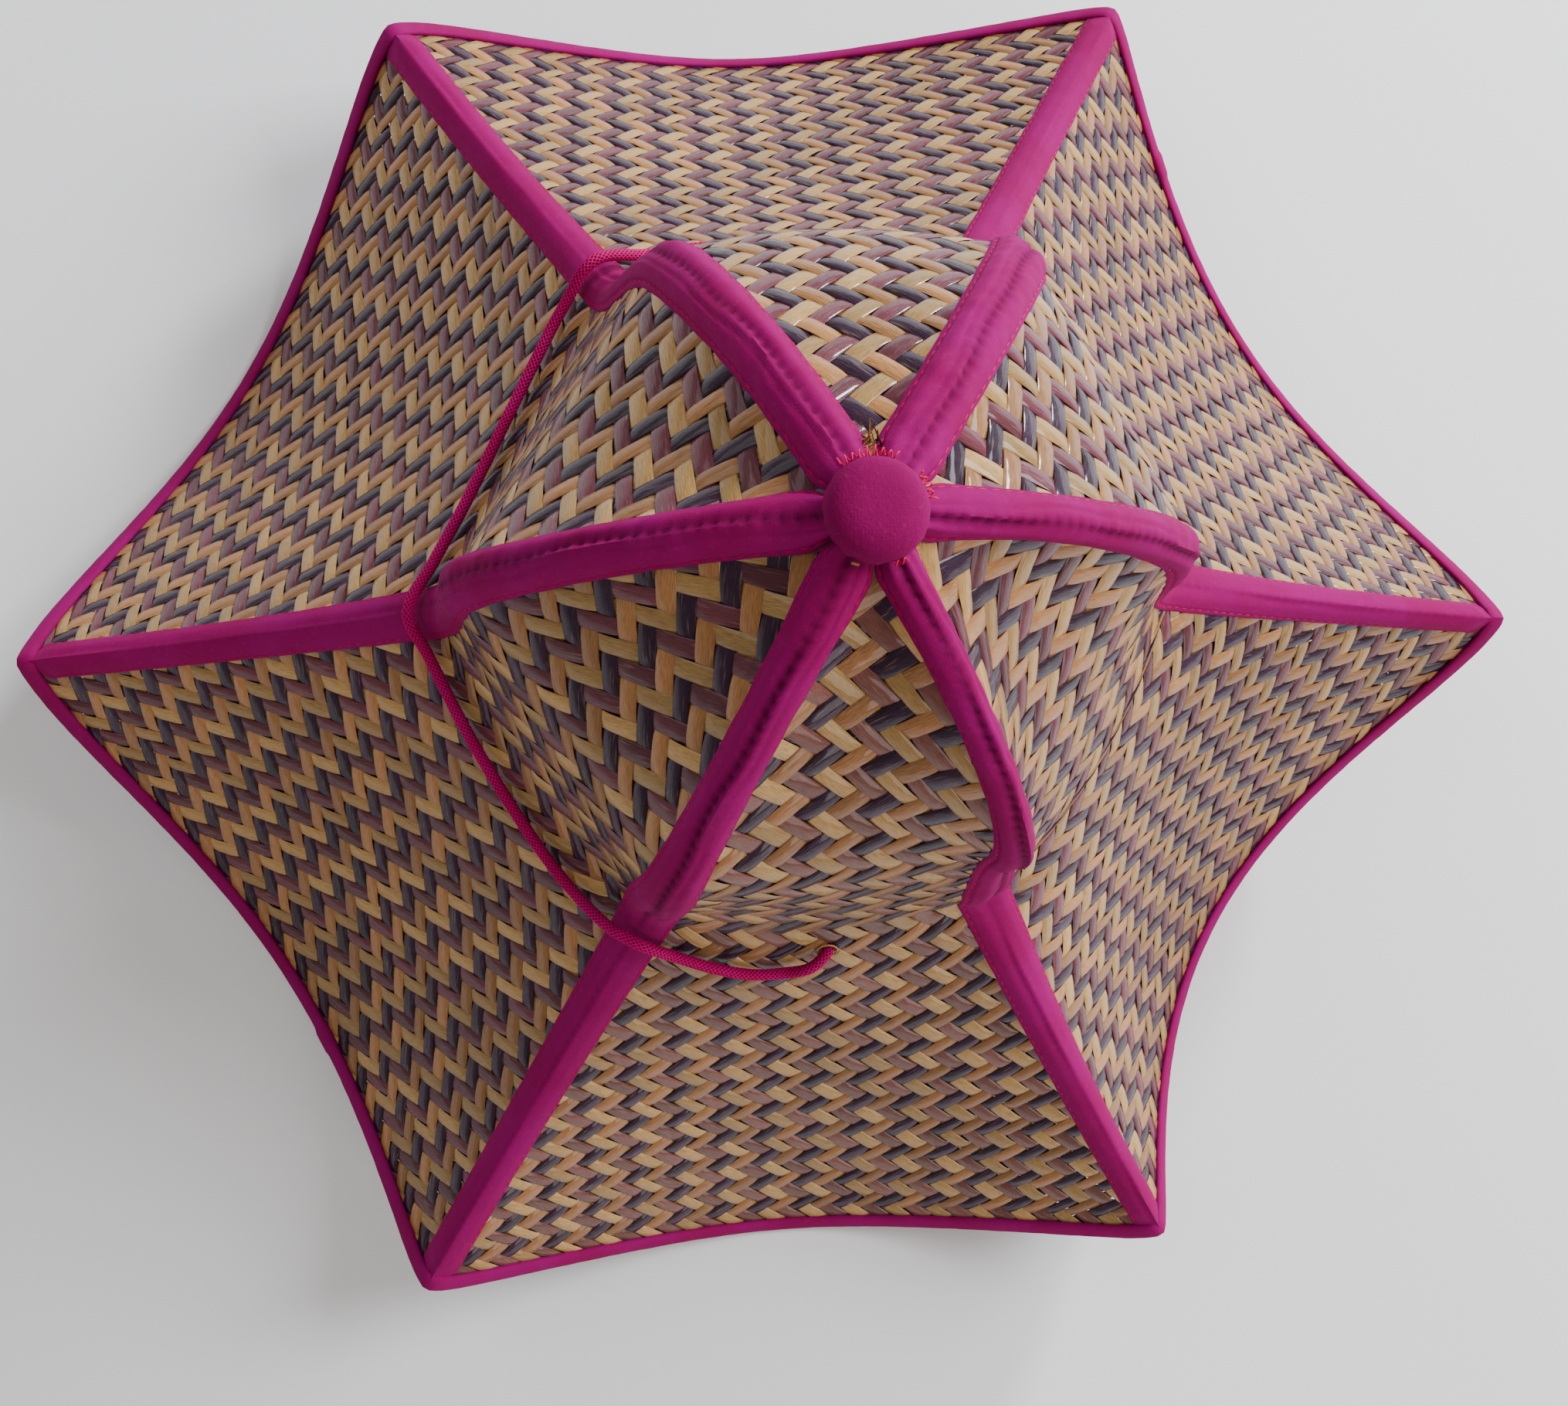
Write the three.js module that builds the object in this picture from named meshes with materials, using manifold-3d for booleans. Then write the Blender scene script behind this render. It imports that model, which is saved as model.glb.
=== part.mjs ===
// A six-sided straw hat: six woven panels, tape over their seams, a bound edge, a covered button and
// a chin cord. Millimetres, +Z up, the front at -Y. It stands on the middles of its six brim edges.
import * as THREE from "three";
import { mergeVertices } from "three/addons/utils/BufferGeometryUtils.js";
import Module from "manifold-3d";

const wasm = await Module();
wasm.setup();

// Driving sizes.
const STRAW = 1.5; // thickness of the woven wall
const GAP = 0.5; // air between neighbouring pieces
const FOOT = 2.5; // height of the straw's edge above the floor, at an edge's middle
const WAIST_RISE = 118; // from the edge's middle up to the waist, along a seam
const CROWN_RISE = 222; // up to the crown's point
const SEAM_SAG = -5.7; // how far a brim seam hangs below the straight line to its tip

// Middle of the brim's outline as measured from the crown's point, which the sizes below start from.
const MIDDLE = { x: 0.79, y: 3.21 };

// Profiles of the crown along a seam and along a panel's middle: height of the waist and the shoulder,
// and the slope in degrees at the waist, the shoulder and the top.
const SEAM_LINE = { waistRise: WAIST_RISE, rise: 169.5, waist: 50.8, shoulder: 55, top: 6.5 };
// The front right seam stands steeper over the waist than the others.
const STEEP_LINE = { waistRise: 116.5, rise: 159, waist: 93, shoulder: 94, top: 6.5 };
const FACE_LINE = { waistRise: 116, rise: 167, waist: 62, shoulder: 50, top: 20 };
// Slope of a brim panel's middle line at the waist and at the edge.
const BRIM_SLOPE = { waist: 56, edge: 46 };

// The six seams, clockwise from above: direction and radius at the shoulder and at the waist, then
// direction, radius and rise of the tip if it were sharp, and how far its rounding cuts it back.
const SEAMS = [
  { name: "back_left", bend: 116.9, shoulder: 76.3, turn: 120.9, waist: 93.6, angle: 120.7, tip: 213, rise: 50, round: 6 },
  { name: "back_right", bend: 55.5, shoulder: 84, turn: 59.8, waist: 95.1, angle: 58.6, tip: 226, rise: 42, round: 3 },
  { name: "right", bend: -0.7, shoulder: 82, turn: -0.7, waist: 95.1, angle: -2.5, tip: 229, rise: 69, round: 17 },
  { name: "front_right", bend: -60.5, shoulder: 81, turn: -62, waist: 89.9, angle: -59.9, tip: 218, rise: 42, round: 3,
    line: STEEP_LINE },
  { name: "front_left", bend: -118.7, shoulder: 82, turn: -118.7, waist: 94.8, angle: -120.2, tip: 217, rise: 42, round: 3 },
  { name: "left", bend: -178.4, shoulder: 82, turn: -178.4, waist: 95.6, angle: -178.7, tip: 222, rise: 52, round: 12 },
];
// The six panels, each from a seam of the list to the next: radius of its middle at the shoulder, the
// waist and the edge, how blunt the edge's bend is there, and how far the bend sits off the middle.
const PANELS = [
  { name: "back", shoulder: 74, waist: 86, edge: 193.8, blunt: 0.35, shift: 0 },
  { name: "back_right", shoulder: 75, waist: 86, edge: 195.4, blunt: 0.98, shift: 0 },
  { name: "front_right", shoulder: 56, waist: 88, edge: 177.3, blunt: 1.52, shift: -0.17 },
  { name: "front", shoulder: 66, waist: 87, edge: 187, blunt: 0.44, shift: 0 },
  { name: "front_left", shoulder: 66, waist: 86, edge: 181.5, blunt: 0.89, shift: 0 },
  { name: "back_left", shoulder: 64, waist: 82, edge: 183, blunt: 0.73, shift: 0 },
];

const TAPE = { half: 6.25, thick: 1.1, ridge: 0.5, end: 7 };
const BINDING = { reach: 4.2, thick: 1, clear: 0.65, foot: 5 };
const BUTTON = { radius: 10.4, height: 5.8, sides: 28 };
const CORD = { diameter: 3, sides: 8, steps: 84 };
const KNOT = { radius: 4, at: [-1, 84.5, 97] };
// The cord's holes, below the waist in the front and back panels: the middle of the hole in the
// straw's outer face and the direction out of it.
const HOLE = { diameter: 6, length: 12 };
const HOLES = {
  front: { at: [2.2, -91.7, 111.5], out: [0.05, -0.81, 0.58] },
  back: { at: [0.6, 88.1, 115.6], out: [-0.4, 0.76, 0.52] },
};

// Rows of each panel's mesh from the top down: on the crown 2 is the top, 1 the shoulder, 0 the waist;
// on the brim the share of the way from the waist to the edge.
const CROWN_ROWS = [1.93, 1.84, 1.7, 1.5, 1.3, 1.15, 1, 0.8, 0.6, 0.4, 0.2, 0];
const BRIM_ROWS = [0.14, 0.3, 0.48, 0.66, 0.83];
// Columns of each half panel: distances from the seam near it, then shares of the rest.
const NEAR_SEAM = [0.85, 3.8, 7.4];
const TO_MIDDLE = [1 / 3, 2 / 3, 1];
const CROWDED = 4; // square mm: the short rows under the button stop this over their length from a seam

// The cord's route: from the knot out through the back hole, round the left of the waist, in through
// the front hole, down to the floor, across it in a slack bow and up to the knot.
const CORD_ROUTE = [
  [-1, 84.6, 102.1], [1.6, 82.2, 106.6], [3.2, 83.8, 111.8], [1.5, 88.2, 115.7],
  [-2.3, 90.4, 117.2], [-7.1, 90.5, 117.5], [-13.1, 89.3, 117.1], [-22.5, 90.5, 115.1],
  [-35.6, 88, 117.4], [-49.9, 84.5, 123.5], [-58.2, 74.6, 117.2], [-67.3, 58.6, 114.8],
  [-85.3, 22.8, 118], [-92.5, 9.7, 119.6], [-98.5, -3.4, 124.6], [-94.5, -13.3, 120],
  [-84.3, -35.8, 116], [-69.2, -62.3, 114.1], [-60.3, -74.5, 115.8], [-52.5, -82.4, 121.3],
  [-45.1, -86.9, 123.3], [-36.6, -90.7, 117], [-27, -94.5, 112.4], [-17.1, -97, 108.8],
  [-8.5, -97.1, 108.5], [-2, -95.8, 111.8], [2.2, -92, 112], [3.8, -88, 108.6],
  [4, -85.4, 104.4], [4, -84.6, 96], [4.6, -84, 22], [5.6, -82, 7], [10, -75, 1.8],
  [24, -56, 1.7], [43, 0, 1.7], [23, 57, 1.7], [8, 77, 1.8], [1.5, 83, 7], [-0.8, 84.4, 22],
  [-1, 84.5, 92.4],
];

const COLOURS = {
  straw: { color: 0x9a8069, roughness: 0.55, metalness: 0 },
  tape: { color: 0xb3146e, roughness: 0.7, metalness: 0 },
  knit: { color: 0xb8186a, roughness: 0.8, metalness: 0 },
  cord: { color: 0xd8285f, roughness: 0.65, metalness: 0 },
};

const radians = THREE.MathUtils.degToRad;

/** Point at a direction in degrees, a radius and a height above the straw's lowest points. */
function polar(angle, radius, rise) {
  const a = radians(angle);
  return new THREE.Vector3(radius * Math.cos(a), radius * Math.sin(a), rise + FOOT);
}

/** Unit vector that runs in from direction `angle` while it climbs at `slope` degrees. */
function climb(angle, slope) {
  const flat = Math.cos(radians(slope));
  const a = radians(angle);
  return new THREE.Vector3(-flat * Math.cos(a), -flat * Math.sin(a), Math.sin(radians(slope)));
}

/** Cubic curve from a to b that leaves and arrives along two unit vectors, at parameter t. */
function arc(a, leave, b, arrive, t) {
  const reach = a.distanceTo(b) / 3;
  const curve = new THREE.CubicBezierCurve3(
    a,
    a.clone().addScaledVector(leave, reach),
    b.clone().addScaledVector(arrive, -reach),
    b,
  );
  return curve.getPoint(t);
}

/** Crown profile at v: 0 the waist, 1 the shoulder, 2 the top. */
function crownLine(low, bend, turn, lean, line, v) {
  const top = polar(0, 0, CROWN_RISE);
  const atBend = climb(lean, line.shoulder);
  if (v <= 1) return arc(low, climb(turn, line.waist), bend, atBend, v);
  return arc(bend, atBend, top, climb(lean, line.top), v - 1);
}

/** The line of a seam: on the crown v from 2 to 0, on the brim v from 0 to -1 at the sharp tip. */
function seamLine(seam, v) {
  const line = seam.line ?? SEAM_LINE;
  const low = polar(seam.turn, seam.waist, line.waistRise);
  const bend = polar(seam.bend, seam.shoulder, line.rise);
  if (v >= 0) return crownLine(low, bend, seam.turn, seam.bend, line, v);
  const point = low.lerp(polar(seam.angle, seam.tip, seam.rise), -v);
  point.z += SEAM_SAG * 4 * -v * (1 + v);
  return point;
}

/** Direction halfway between a panel's two seams. */
function middleAngle(from, to, key) {
  return from[key] - ((((from[key] - to[key]) % 360) + 360) % 360) / 2;
}

/** The middle line of a panel, with v as in seamLine. */
function middleLine(panel, from, to, v) {
  const turn = middleAngle(from, to, "turn");
  const lean = middleAngle(from, to, "bend");
  const angle = middleAngle(from, to, "angle");
  const low = polar(turn, panel.waist, FACE_LINE.waistRise);
  const bend = polar(lean, panel.shoulder, FACE_LINE.rise);
  if (v >= 0) return crownLine(low, bend, turn, lean, FACE_LINE, v);
  const leave = climb(turn, BRIM_SLOPE.waist).negate();
  return arc(low, leave, polar(angle, panel.edge, 0), climb(angle, BRIM_SLOPE.edge).negate(), -v);
}

/** Point of a panel at s from -1 to 1 between its seams, and v as in seamLine. */
function panelPoint(panel, from, to, s, v) {
  const a = seamLine(from, v);
  const b = seamLine(to, v);
  const m = middleLine(panel, from, to, v);
  if (v >= 0)
    return a
      .multiplyScalar((s * (s - 1)) / 2)
      .addScaledVector(m, 1 - s * s)
      .addScaledVector(b, (s * (s + 1)) / 2);
  const x = s + panel.shift * (1 - s * s);
  const c = panel.blunt;
  const soft = 1 - x * x;
  const sharp = 1 - (Math.hypot(x, c) - c) / (Math.hypot(1, c) - c);
  const chord = a.clone().lerp(b, 0.5);
  return a.lerp(b, (1 + x) / 2).addScaledVector(m.sub(chord), soft * (1 + v) - sharp * v);
}

/** Share of the brim that is left at s once the two tips are rounded. */
function edgeShare(from, to, s) {
  const half = seamLine(from, -1).distanceTo(seamLine(to, -1)) / 2;
  const turn = Math.tan(radians(30));
  const cut = (seam, away) => seam.round * Math.exp((-turn * half * away) / seam.round);
  const length = (seam) => seamLine(seam, 0).distanceTo(seamLine(seam, -1));
  return 1 - cut(from, 1 + s) / length(from) - cut(to, 1 - s) / length(to);
}

/** The rows of a panel as functions of s. */
function rowsOf(panel, from, to) {
  const brim = (share) => (s) => panelPoint(panel, from, to, s, -share * edgeShare(from, to, s));
  const reach = middleLine(panel, from, to, 0).distanceTo(middleLine(panel, from, to, -1));
  const rows = CROWN_ROWS.map((v) => (s) => panelPoint(panel, from, to, s, v));
  rows.push(...BRIM_ROWS.map(brim), brim(1 - TAPE.end / reach), brim(1));
  return rows;
}

/** Points of a row at the mesh's columns, measured along the row. */
function columns(row) {
  const side = (sign) => {
    const line = Array.from({ length: 61 }, (_, i) => row(sign * (1 - i / 60)));
    const far = [0];
    line.slice(1).forEach((p, i) => far.push(far[i] + p.distanceTo(line[i])));
    const total = far[60];
    const first = Math.max(NEAR_SEAM[0], CROWDED / total);
    const near = NEAR_SEAM.map((d, i) => Math.min(Math.max(d, first), first + 0.3 * i * (total - first)));
    const rest = TO_MIDDLE.map((share) => near[2] + (total - near[2]) * share);
    return [...near, ...rest].map((d) => {
      const k = Math.min(far.findIndex((f) => f >= d - 1e-9), 60);
      const share = k ? (d - far[k - 1]) / (far[k] - far[k - 1]) : 0;
      return k ? line[k - 1].clone().lerp(line[k], share) : line[0];
    });
  };
  const left = side(-1);
  const right = side(1);
  return [...left, ...right.slice(0, -1).reverse()];
}

/** Unit normals of a grid of points, out of the hat. */
function normalsOf(grid) {
  const sums = grid.map((row) => row.map(() => new THREE.Vector3()));
  for (let i = 0; i + 1 < grid.length; i++)
    for (let j = 0; j + 1 < grid[i].length; j++) {
      const across = grid[i][j + 1].clone().sub(grid[i + 1][j]);
      const down = grid[i + 1][j + 1].clone().sub(grid[i][j]);
      const n = across.cross(down);
      for (const [r, c] of [[i, j], [i + 1, j], [i, j + 1], [i + 1, j + 1]]) sums[r][c].add(n);
    }
  return sums.map((row) => row.map((n) => n.normalize()));
}

/** Normal held in the upright plane of a seam, and lengthened so that its face keeps its distance. */
function mitre(normal, across) {
  const flat = normal.clone().addScaledVector(across, -normal.dot(across));
  return flat.divideScalar(Math.max(flat.dot(normal), 0.2));
}

/** Horizontal unit vector square to a seam. */
function squareTo(seam) {
  const a = radians(seam.turn);
  return new THREE.Vector3(-Math.sin(a), Math.cos(a), 0);
}

/** Indexed geometry of a list of points and triangles, flat shaded. */
function geometryOf(points, triangles) {
  const geometry = new THREE.BufferGeometry();
  geometry.setAttribute("position", new THREE.Float32BufferAttribute(points.flatMap((p) => p.toArray()), 3));
  geometry.setIndex(triangles.flat());
  geometry.computeVertexNormals();
  return geometry;
}

/** Closed wall between an outer and an inner grid of the same size. */
function wall(outer, inner) {
  const rows = outer.length;
  const cols = outer[0].length;
  const points = [...outer.flat(), ...inner.flat()];
  const out = (i, j) => i * cols + j;
  const into = (i, j) => rows * cols + i * cols + j;
  const triangles = [];
  const quad = (a, b, c, d) => triangles.push([a, b, c], [a, c, d]);
  for (let i = 0; i + 1 < rows; i++)
    for (let j = 0; j + 1 < cols; j++) {
      quad(out(i, j), out(i + 1, j), out(i + 1, j + 1), out(i, j + 1));
      quad(into(i, j), into(i, j + 1), into(i + 1, j + 1), into(i + 1, j));
    }
  for (let i = 0; i + 1 < rows; i++) {
    quad(out(i, 0), into(i, 0), into(i + 1, 0), out(i + 1, 0));
    quad(out(i + 1, cols - 1), into(i + 1, cols - 1), into(i, cols - 1), out(i, cols - 1));
  }
  for (let j = 0; j + 1 < cols; j++) {
    quad(out(0, j + 1), into(0, j + 1), into(0, j), out(0, j));
    quad(out(rows - 1, j), into(rows - 1, j), into(rows - 1, j + 1), out(rows - 1, j + 1));
  }
  return geometryOf(points, triangles);
}

/** Closed ring through sections of equal length. */
function ring(sections) {
  const n = sections[0].length;
  const triangles = [];
  sections.forEach((_, i) => {
    const next = ((i + 1) % sections.length) * n;
    for (let k = 0; k < n; k++) {
      const l = (k + 1) % n;
      triangles.push([i * n + k, next + k, next + l], [i * n + k, next + l, i * n + l]);
    }
  });
  return geometryOf(sections.flat(), triangles);
}

/** Turns the geometry the other way if its faces point inwards. */
function facingOut(geometry) {
  const p = geometry.getAttribute("position");
  const index = geometry.getIndex();
  let volume = 0;
  const [a, b, c] = [new THREE.Vector3(), new THREE.Vector3(), new THREE.Vector3()];
  for (let i = 0; i < index.count; i += 3) {
    a.fromBufferAttribute(p, index.getX(i));
    b.fromBufferAttribute(p, index.getX(i + 1));
    c.fromBufferAttribute(p, index.getX(i + 2));
    volume += a.dot(b.cross(c));
  }
  if (volume < 0)
    for (let i = 0; i < index.count; i += 3) {
      const keep = index.getX(i + 1);
      index.setX(i + 1, index.getX(i + 2));
      index.setX(i + 2, keep);
    }
  return geometry;
}

/** The meshed faces of the hat: each panel's grid of outer points and its normals. */
const faces = PANELS.map((panel, i) => {
  const from = SEAMS[i];
  const to = SEAMS[(i + 1) % SEAMS.length];
  const rows = rowsOf(panel, from, to);
  const grid = rows.map(columns);
  return { panel, from, to, rows, grid, normals: normalsOf(grid) };
});

/** A woven panel, from under the button to the edge, less the cord's hole. */
function panelGeometry(face, hole) {
  const last = face.grid[0].length - 1;
  const inner = face.grid.map((row, i) =>
    row.map((p, j) => {
      let n = face.normals[i][j];
      if (j === 0) n = mitre(n, squareTo(face.from));
      if (j === last) n = mitre(n, squareTo(face.to));
      return p.clone().addScaledVector(n, -STRAW);
    }),
  );
  const solid = facingOut(wall(face.grid, inner));
  return hole ? less(solid, hole) : solid;
}

/** Solid of an indexed or plain geometry, its vertices merged. */
function solidOf(geometry) {
  const bare = geometry.clone();
  bare.deleteAttribute("normal");
  bare.deleteAttribute("uv");
  const merged = mergeVertices(bare, 1e-3);
  return new wasm.Manifold(
    new wasm.Mesh({
      numProp: 3,
      vertProperties: merged.attributes.position.array,
      triVerts: new Uint32Array(merged.index.array),
    }),
  );
}

/** One geometry less another. */
function less(geometry, tool) {
  const mesh = solidOf(geometry).subtract(solidOf(tool)).getMesh();
  const result = new THREE.BufferGeometry();
  result.setAttribute("position", new THREE.BufferAttribute(new Float32Array(mesh.vertProperties), 3));
  result.setIndex(new THREE.BufferAttribute(new Uint32Array(mesh.triVerts), 1));
  result.computeVertexNormals();
  return result;
}

/** Point at a distance along a row's points, and the normal there. */
function along(points, normals, distance) {
  let left = distance;
  for (let j = 0; j + 1 < points.length; j++) {
    const step = points[j].distanceTo(points[j + 1]);
    if (left <= step || j + 2 === points.length) {
      const t = Math.min(left / step, 1);
      return {
        point: points[j].clone().lerp(points[j + 1], t),
        normal: normals[j].clone().lerp(normals[j + 1], t).normalize(),
      };
    }
    left -= step;
  }
}

/** Points and normals of one half of a row, from the seam to the panel's middle. */
function halfRow(face, i, side) {
  const middle = (face.grid[i].length - 1) / 2;
  const points = face.grid[i].slice(0, middle + 1);
  const normals = face.normals[i].slice(0, middle + 1);
  if (side === "from") return { points, normals };
  return {
    points: face.grid[i].slice(middle).reverse(),
    normals: face.normals[i].slice(middle).reverse(),
  };
}

/** Folded tape over a seam: two soft ridges with a stitched groove between them. */
function tapeGeometry(k) {
  const after = faces[k];
  const before = faces[(k + faces.length - 1) % faces.length];
  const seam = SEAMS[k];
  const across = squareTo(seam);
  const top = [];
  const bottom = [];
  for (let i = 0; i + 1 < after.grid.length; i++) {
    const halves = [halfRow(before, i, "to"), halfRow(after, i, "from")];
    const line = after.rows[i](-1);
    const gaps = halves.map(({ points }) => points[0].distanceTo(line));
    const width = Math.min(TAPE.half, ...halves.map(({ points }, h) => lengthOf(points) + gaps[h] - 0.3));
    const place = (h, share) => along(halves[h].points, halves[h].normals, width * share - gaps[h]);
    const centre = {
      point: line,
      normal: mitre(after.normals[i][0], across).add(mitre(before.normals[i].at(-1), across)).multiplyScalar(0.5),
    };
    const row = [place(0, 1), place(0, 0.5), centre, place(1, 0.5), place(1, 1)];
    const lift = [-0.3, TAPE.ridge, 0, TAPE.ridge, -0.3];
    bottom.push(row.map(({ point, normal }) => point.clone().addScaledVector(normal, GAP)));
    top.push(row.map(({ point, normal }, j) =>
      point.clone().addScaledVector(normal, GAP + TAPE.thick + lift[j])));
  }
  return facingOut(wall(top, bottom));
}

/** Length of a chain of points. */
function lengthOf(points) {
  return points.slice(1).reduce((sum, p, i) => sum + p.distanceTo(points[i]), 0);
}

/** Places round the brim's edge where the binding has a section. */
function edgeStations() {
  const stations = [];
  faces.forEach((face, k) => {
    const before = faces[(k + faces.length - 1) % faces.length];
    const last = face.grid.length - 1;
    const edge = face.grid[last];
    const normals = face.normals[last];
    const across = squareTo(face.from);
    const tipNormal = mitre(normals[0], across).add(mitre(before.normals[last].at(-1), across));
    stations.push({ point: face.rows[last](-1), normal: tipNormal.multiplyScalar(0.5), foot: false });
    const middle = (edge.length - 1) / 2;
    edge.slice(1, -1).forEach((point, n) => {
      const j = n + 1;
      const beside = (to) => point.clone().lerp(edge[to], BINDING.foot / point.distanceTo(edge[to]));
      if (j === middle) stations.push({ point: beside(j - 1), normal: normals[j], foot: true });
      stations.push({ point, normal: normals[j], foot: j === middle });
      if (j === middle) stations.push({ point: beside(j + 1), normal: normals[j], foot: true });
    });
  });
  return stations;
}

/** U-shaped binding round the edge, flat where the hat stands on it. */
function bindingGeometry() {
  const { reach, thick, clear } = BINDING;
  const under = -STRAW - clear;
  const outline = [
    [-reach, clear], [-reach, clear + thick - 0.2], [0.7, clear + thick], [clear + thick, clear],
    [clear + thick, under], [0.7, under - thick], [-reach, under - thick + 0.2], [-reach, under],
    [clear, under], [clear, clear],
  ];
  const stations = edgeStations();
  const sections = stations.map(({ point, normal, foot }, i) => {
    const next = stations[(i + 1) % stations.length].point;
    const previous = stations[(i + stations.length - 1) % stations.length].point;
    const tangent = next.clone().sub(previous);
    const outward = tangent.cross(normal).normalize();
    if (outward.x * point.x + outward.y * point.y < 0) outward.negate();
    return outline.map(([out, up], n) => {
      const p = point.clone().addScaledVector(outward, out).addScaledVector(normal, up);
      p.z = foot && (n === 4 || n === 5) ? 0 : Math.max(p.z, 0);
      return p;
    });
  });
  return facingOut(ring(sections));
}

/** Domed button over the ends of the tapes. */
function buttonGeometry() {
  const { radius, height, sides } = BUTTON;
  const base = CROWN_RISE + FOOT + 2 * GAP + TAPE.thick + TAPE.ridge;
  const profile = [
    [radius * 0.55, base - 0.5], [radius * 0.95, base - 1.1], [radius, base + 0.2],
    [radius * 0.97, base + height * 0.3], [radius * 0.84, base + height * 0.62],
    [radius * 0.6, base + height * 0.86], [radius * 0.3, base + height * 0.97],
  ];
  const points = profile.flatMap(([r, z]) =>
    Array.from({ length: sides }, (_, k) => polar((360 * k) / sides, r, z - FOOT)),
  );
  const low = points.push(new THREE.Vector3(0, 0, base)) - 1;
  const high = points.push(new THREE.Vector3(0, 0, base + height)) - 1;
  const triangles = [];
  for (let k = 0; k < sides; k++) {
    const l = (k + 1) % sides;
    triangles.push([low, l, k]);
    for (let i = 0; i + 1 < profile.length; i++) {
      const [a, b] = [i * sides, (i + 1) * sides];
      triangles.push([a + k, a + l, b + l], [a + k, b + l, b + k]);
    }
    const rim = (profile.length - 1) * sides;
    triangles.push([rim + k, rim + l, high]);
  }
  return facingOut(geometryOf(points, triangles));
}

/** Drill of a cord's hole. */
function drill({ at, out }) {
  const radius = HOLE.diameter / 2;
  const tool = new THREE.CylinderGeometry(radius, radius, HOLE.length, 18);
  const turn = new THREE.Quaternion().setFromUnitVectors(
    new THREE.Vector3(0, 1, 0),
    new THREE.Vector3(...out).normalize(),
  );
  return tool.applyQuaternion(turn).translate(...at);
}

/** The chin cord, a round tube along its route. */
function cordGeometry() {
  const route = new THREE.CatmullRomCurve3(CORD_ROUTE.map((p) => new THREE.Vector3(...p)));
  const section = new THREE.Shape().absarc(0, 0, CORD.diameter / 2, 0, 2 * Math.PI);
  return new THREE.ExtrudeGeometry(section, {
    steps: CORD.steps,
    curveSegments: CORD.sides / 2,
    extrudePath: route,
  });
}

/** The knot that closes the cord's loop inside the hat. */
function knotGeometry() {
  const knot = new THREE.SphereGeometry(KNOT.radius, 10, 8);
  knot.deleteAttribute("uv");
  knot.deleteAttribute("normal");
  return mergeVertices(knot.rotateX(Math.PI / 2).translate(...KNOT.at), 1e-3);
}

const hat = new THREE.Group();
hat.name = "straw_hat";
hat.position.set(-MIDDLE.x, -MIDDLE.y, 0);

/** Adds a named mesh with its finish to the hat. */
function add(name, geometry, finish) {
  const mesh = new THREE.Mesh(geometry, new THREE.MeshStandardMaterial({ ...finish, flatShading: true }));
  mesh.name = name;
  hat.add(mesh);
}

faces.forEach((face) => {
  const hole = HOLES[face.panel.name];
  add("panel_" + face.panel.name, panelGeometry(face, hole && drill(hole)), COLOURS.straw);
});
SEAMS.forEach((seam, k) => add("tape_" + seam.name, tapeGeometry(k), COLOURS.tape));
add("edge_binding", bindingGeometry(), COLOURS.tape);
add("button", buttonGeometry(), COLOURS.knit);
add("chin_cord", cordGeometry(), COLOURS.cord);
add("cord_knot", knotGeometry(), COLOURS.cord);

export default hat;
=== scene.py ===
"""Straw hat: six woven panels, taped seams, a bound edge, a covered button and a chin cord."""

import logging
import math
from dataclasses import dataclass, field
from enum import Enum

import bpy
import numpy as np
from mathutils import Matrix, Vector

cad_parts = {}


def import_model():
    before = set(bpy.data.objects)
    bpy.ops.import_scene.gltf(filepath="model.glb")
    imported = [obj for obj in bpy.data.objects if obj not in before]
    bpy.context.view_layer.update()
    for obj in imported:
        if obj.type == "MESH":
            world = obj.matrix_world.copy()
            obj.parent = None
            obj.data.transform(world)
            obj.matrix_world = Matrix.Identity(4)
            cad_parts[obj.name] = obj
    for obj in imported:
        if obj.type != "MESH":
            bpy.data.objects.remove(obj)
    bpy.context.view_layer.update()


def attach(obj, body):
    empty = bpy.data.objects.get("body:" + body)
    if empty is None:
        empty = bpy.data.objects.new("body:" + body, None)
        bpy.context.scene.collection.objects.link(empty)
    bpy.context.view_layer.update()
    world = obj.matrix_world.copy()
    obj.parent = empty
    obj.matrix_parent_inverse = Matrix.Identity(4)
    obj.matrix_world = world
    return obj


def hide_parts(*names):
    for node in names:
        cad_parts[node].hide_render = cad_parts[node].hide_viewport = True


log = logging.getLogger("straw_hat")

MM = 0.001
PHOTO_WIDTH = 2030  # pixels
SENSOR = 36.0  # millimetres
BODY = "root"
TOP_ROW = 1.97  # v of the highest row of a chart, under the button
DOME_ROWS, WALL_ROWS, BRIM_ROWS = 45, 46, 76
CHART_COLUMNS = 121
CHART_SHARES = 61
TUBE_SIDES = 5  # of the finest strands and threads
HEM_SHARE = 0.84  # where the hems' stitches run, as a share of the tape's half width
# Section of a strand, in shares of its width and of its thickness.
STRAND_OUTLINE = ((-0.5, -0.3), (-0.42, 0.36), (0.0, 0.56), (0.42, 0.36), (0.5, -0.3), (0.0, -0.5))


@dataclass(frozen=True)
class Seam:
    """One seam from the crown's point to a brim tip: degrees and millimetres."""

    name: str
    bend: float
    shoulder: float
    turn: float
    waist: float
    angle: float
    tip: float
    rise: float
    rounding: float
    steep: bool = False  # stands steeper over the waist than the others


@dataclass(frozen=True)
class Gore:
    """One panel between two seams: radii of its middle line, and the bend of its edge."""

    name: str
    shoulder: float
    waist: float
    edge: float
    blunt: float
    shift: float


@dataclass(frozen=True)
class Profile:
    """Heights of waist and shoulder above the edge, and slopes in degrees."""

    waist_rise: float
    rise: float
    waist: float
    shoulder: float
    top: float


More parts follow.
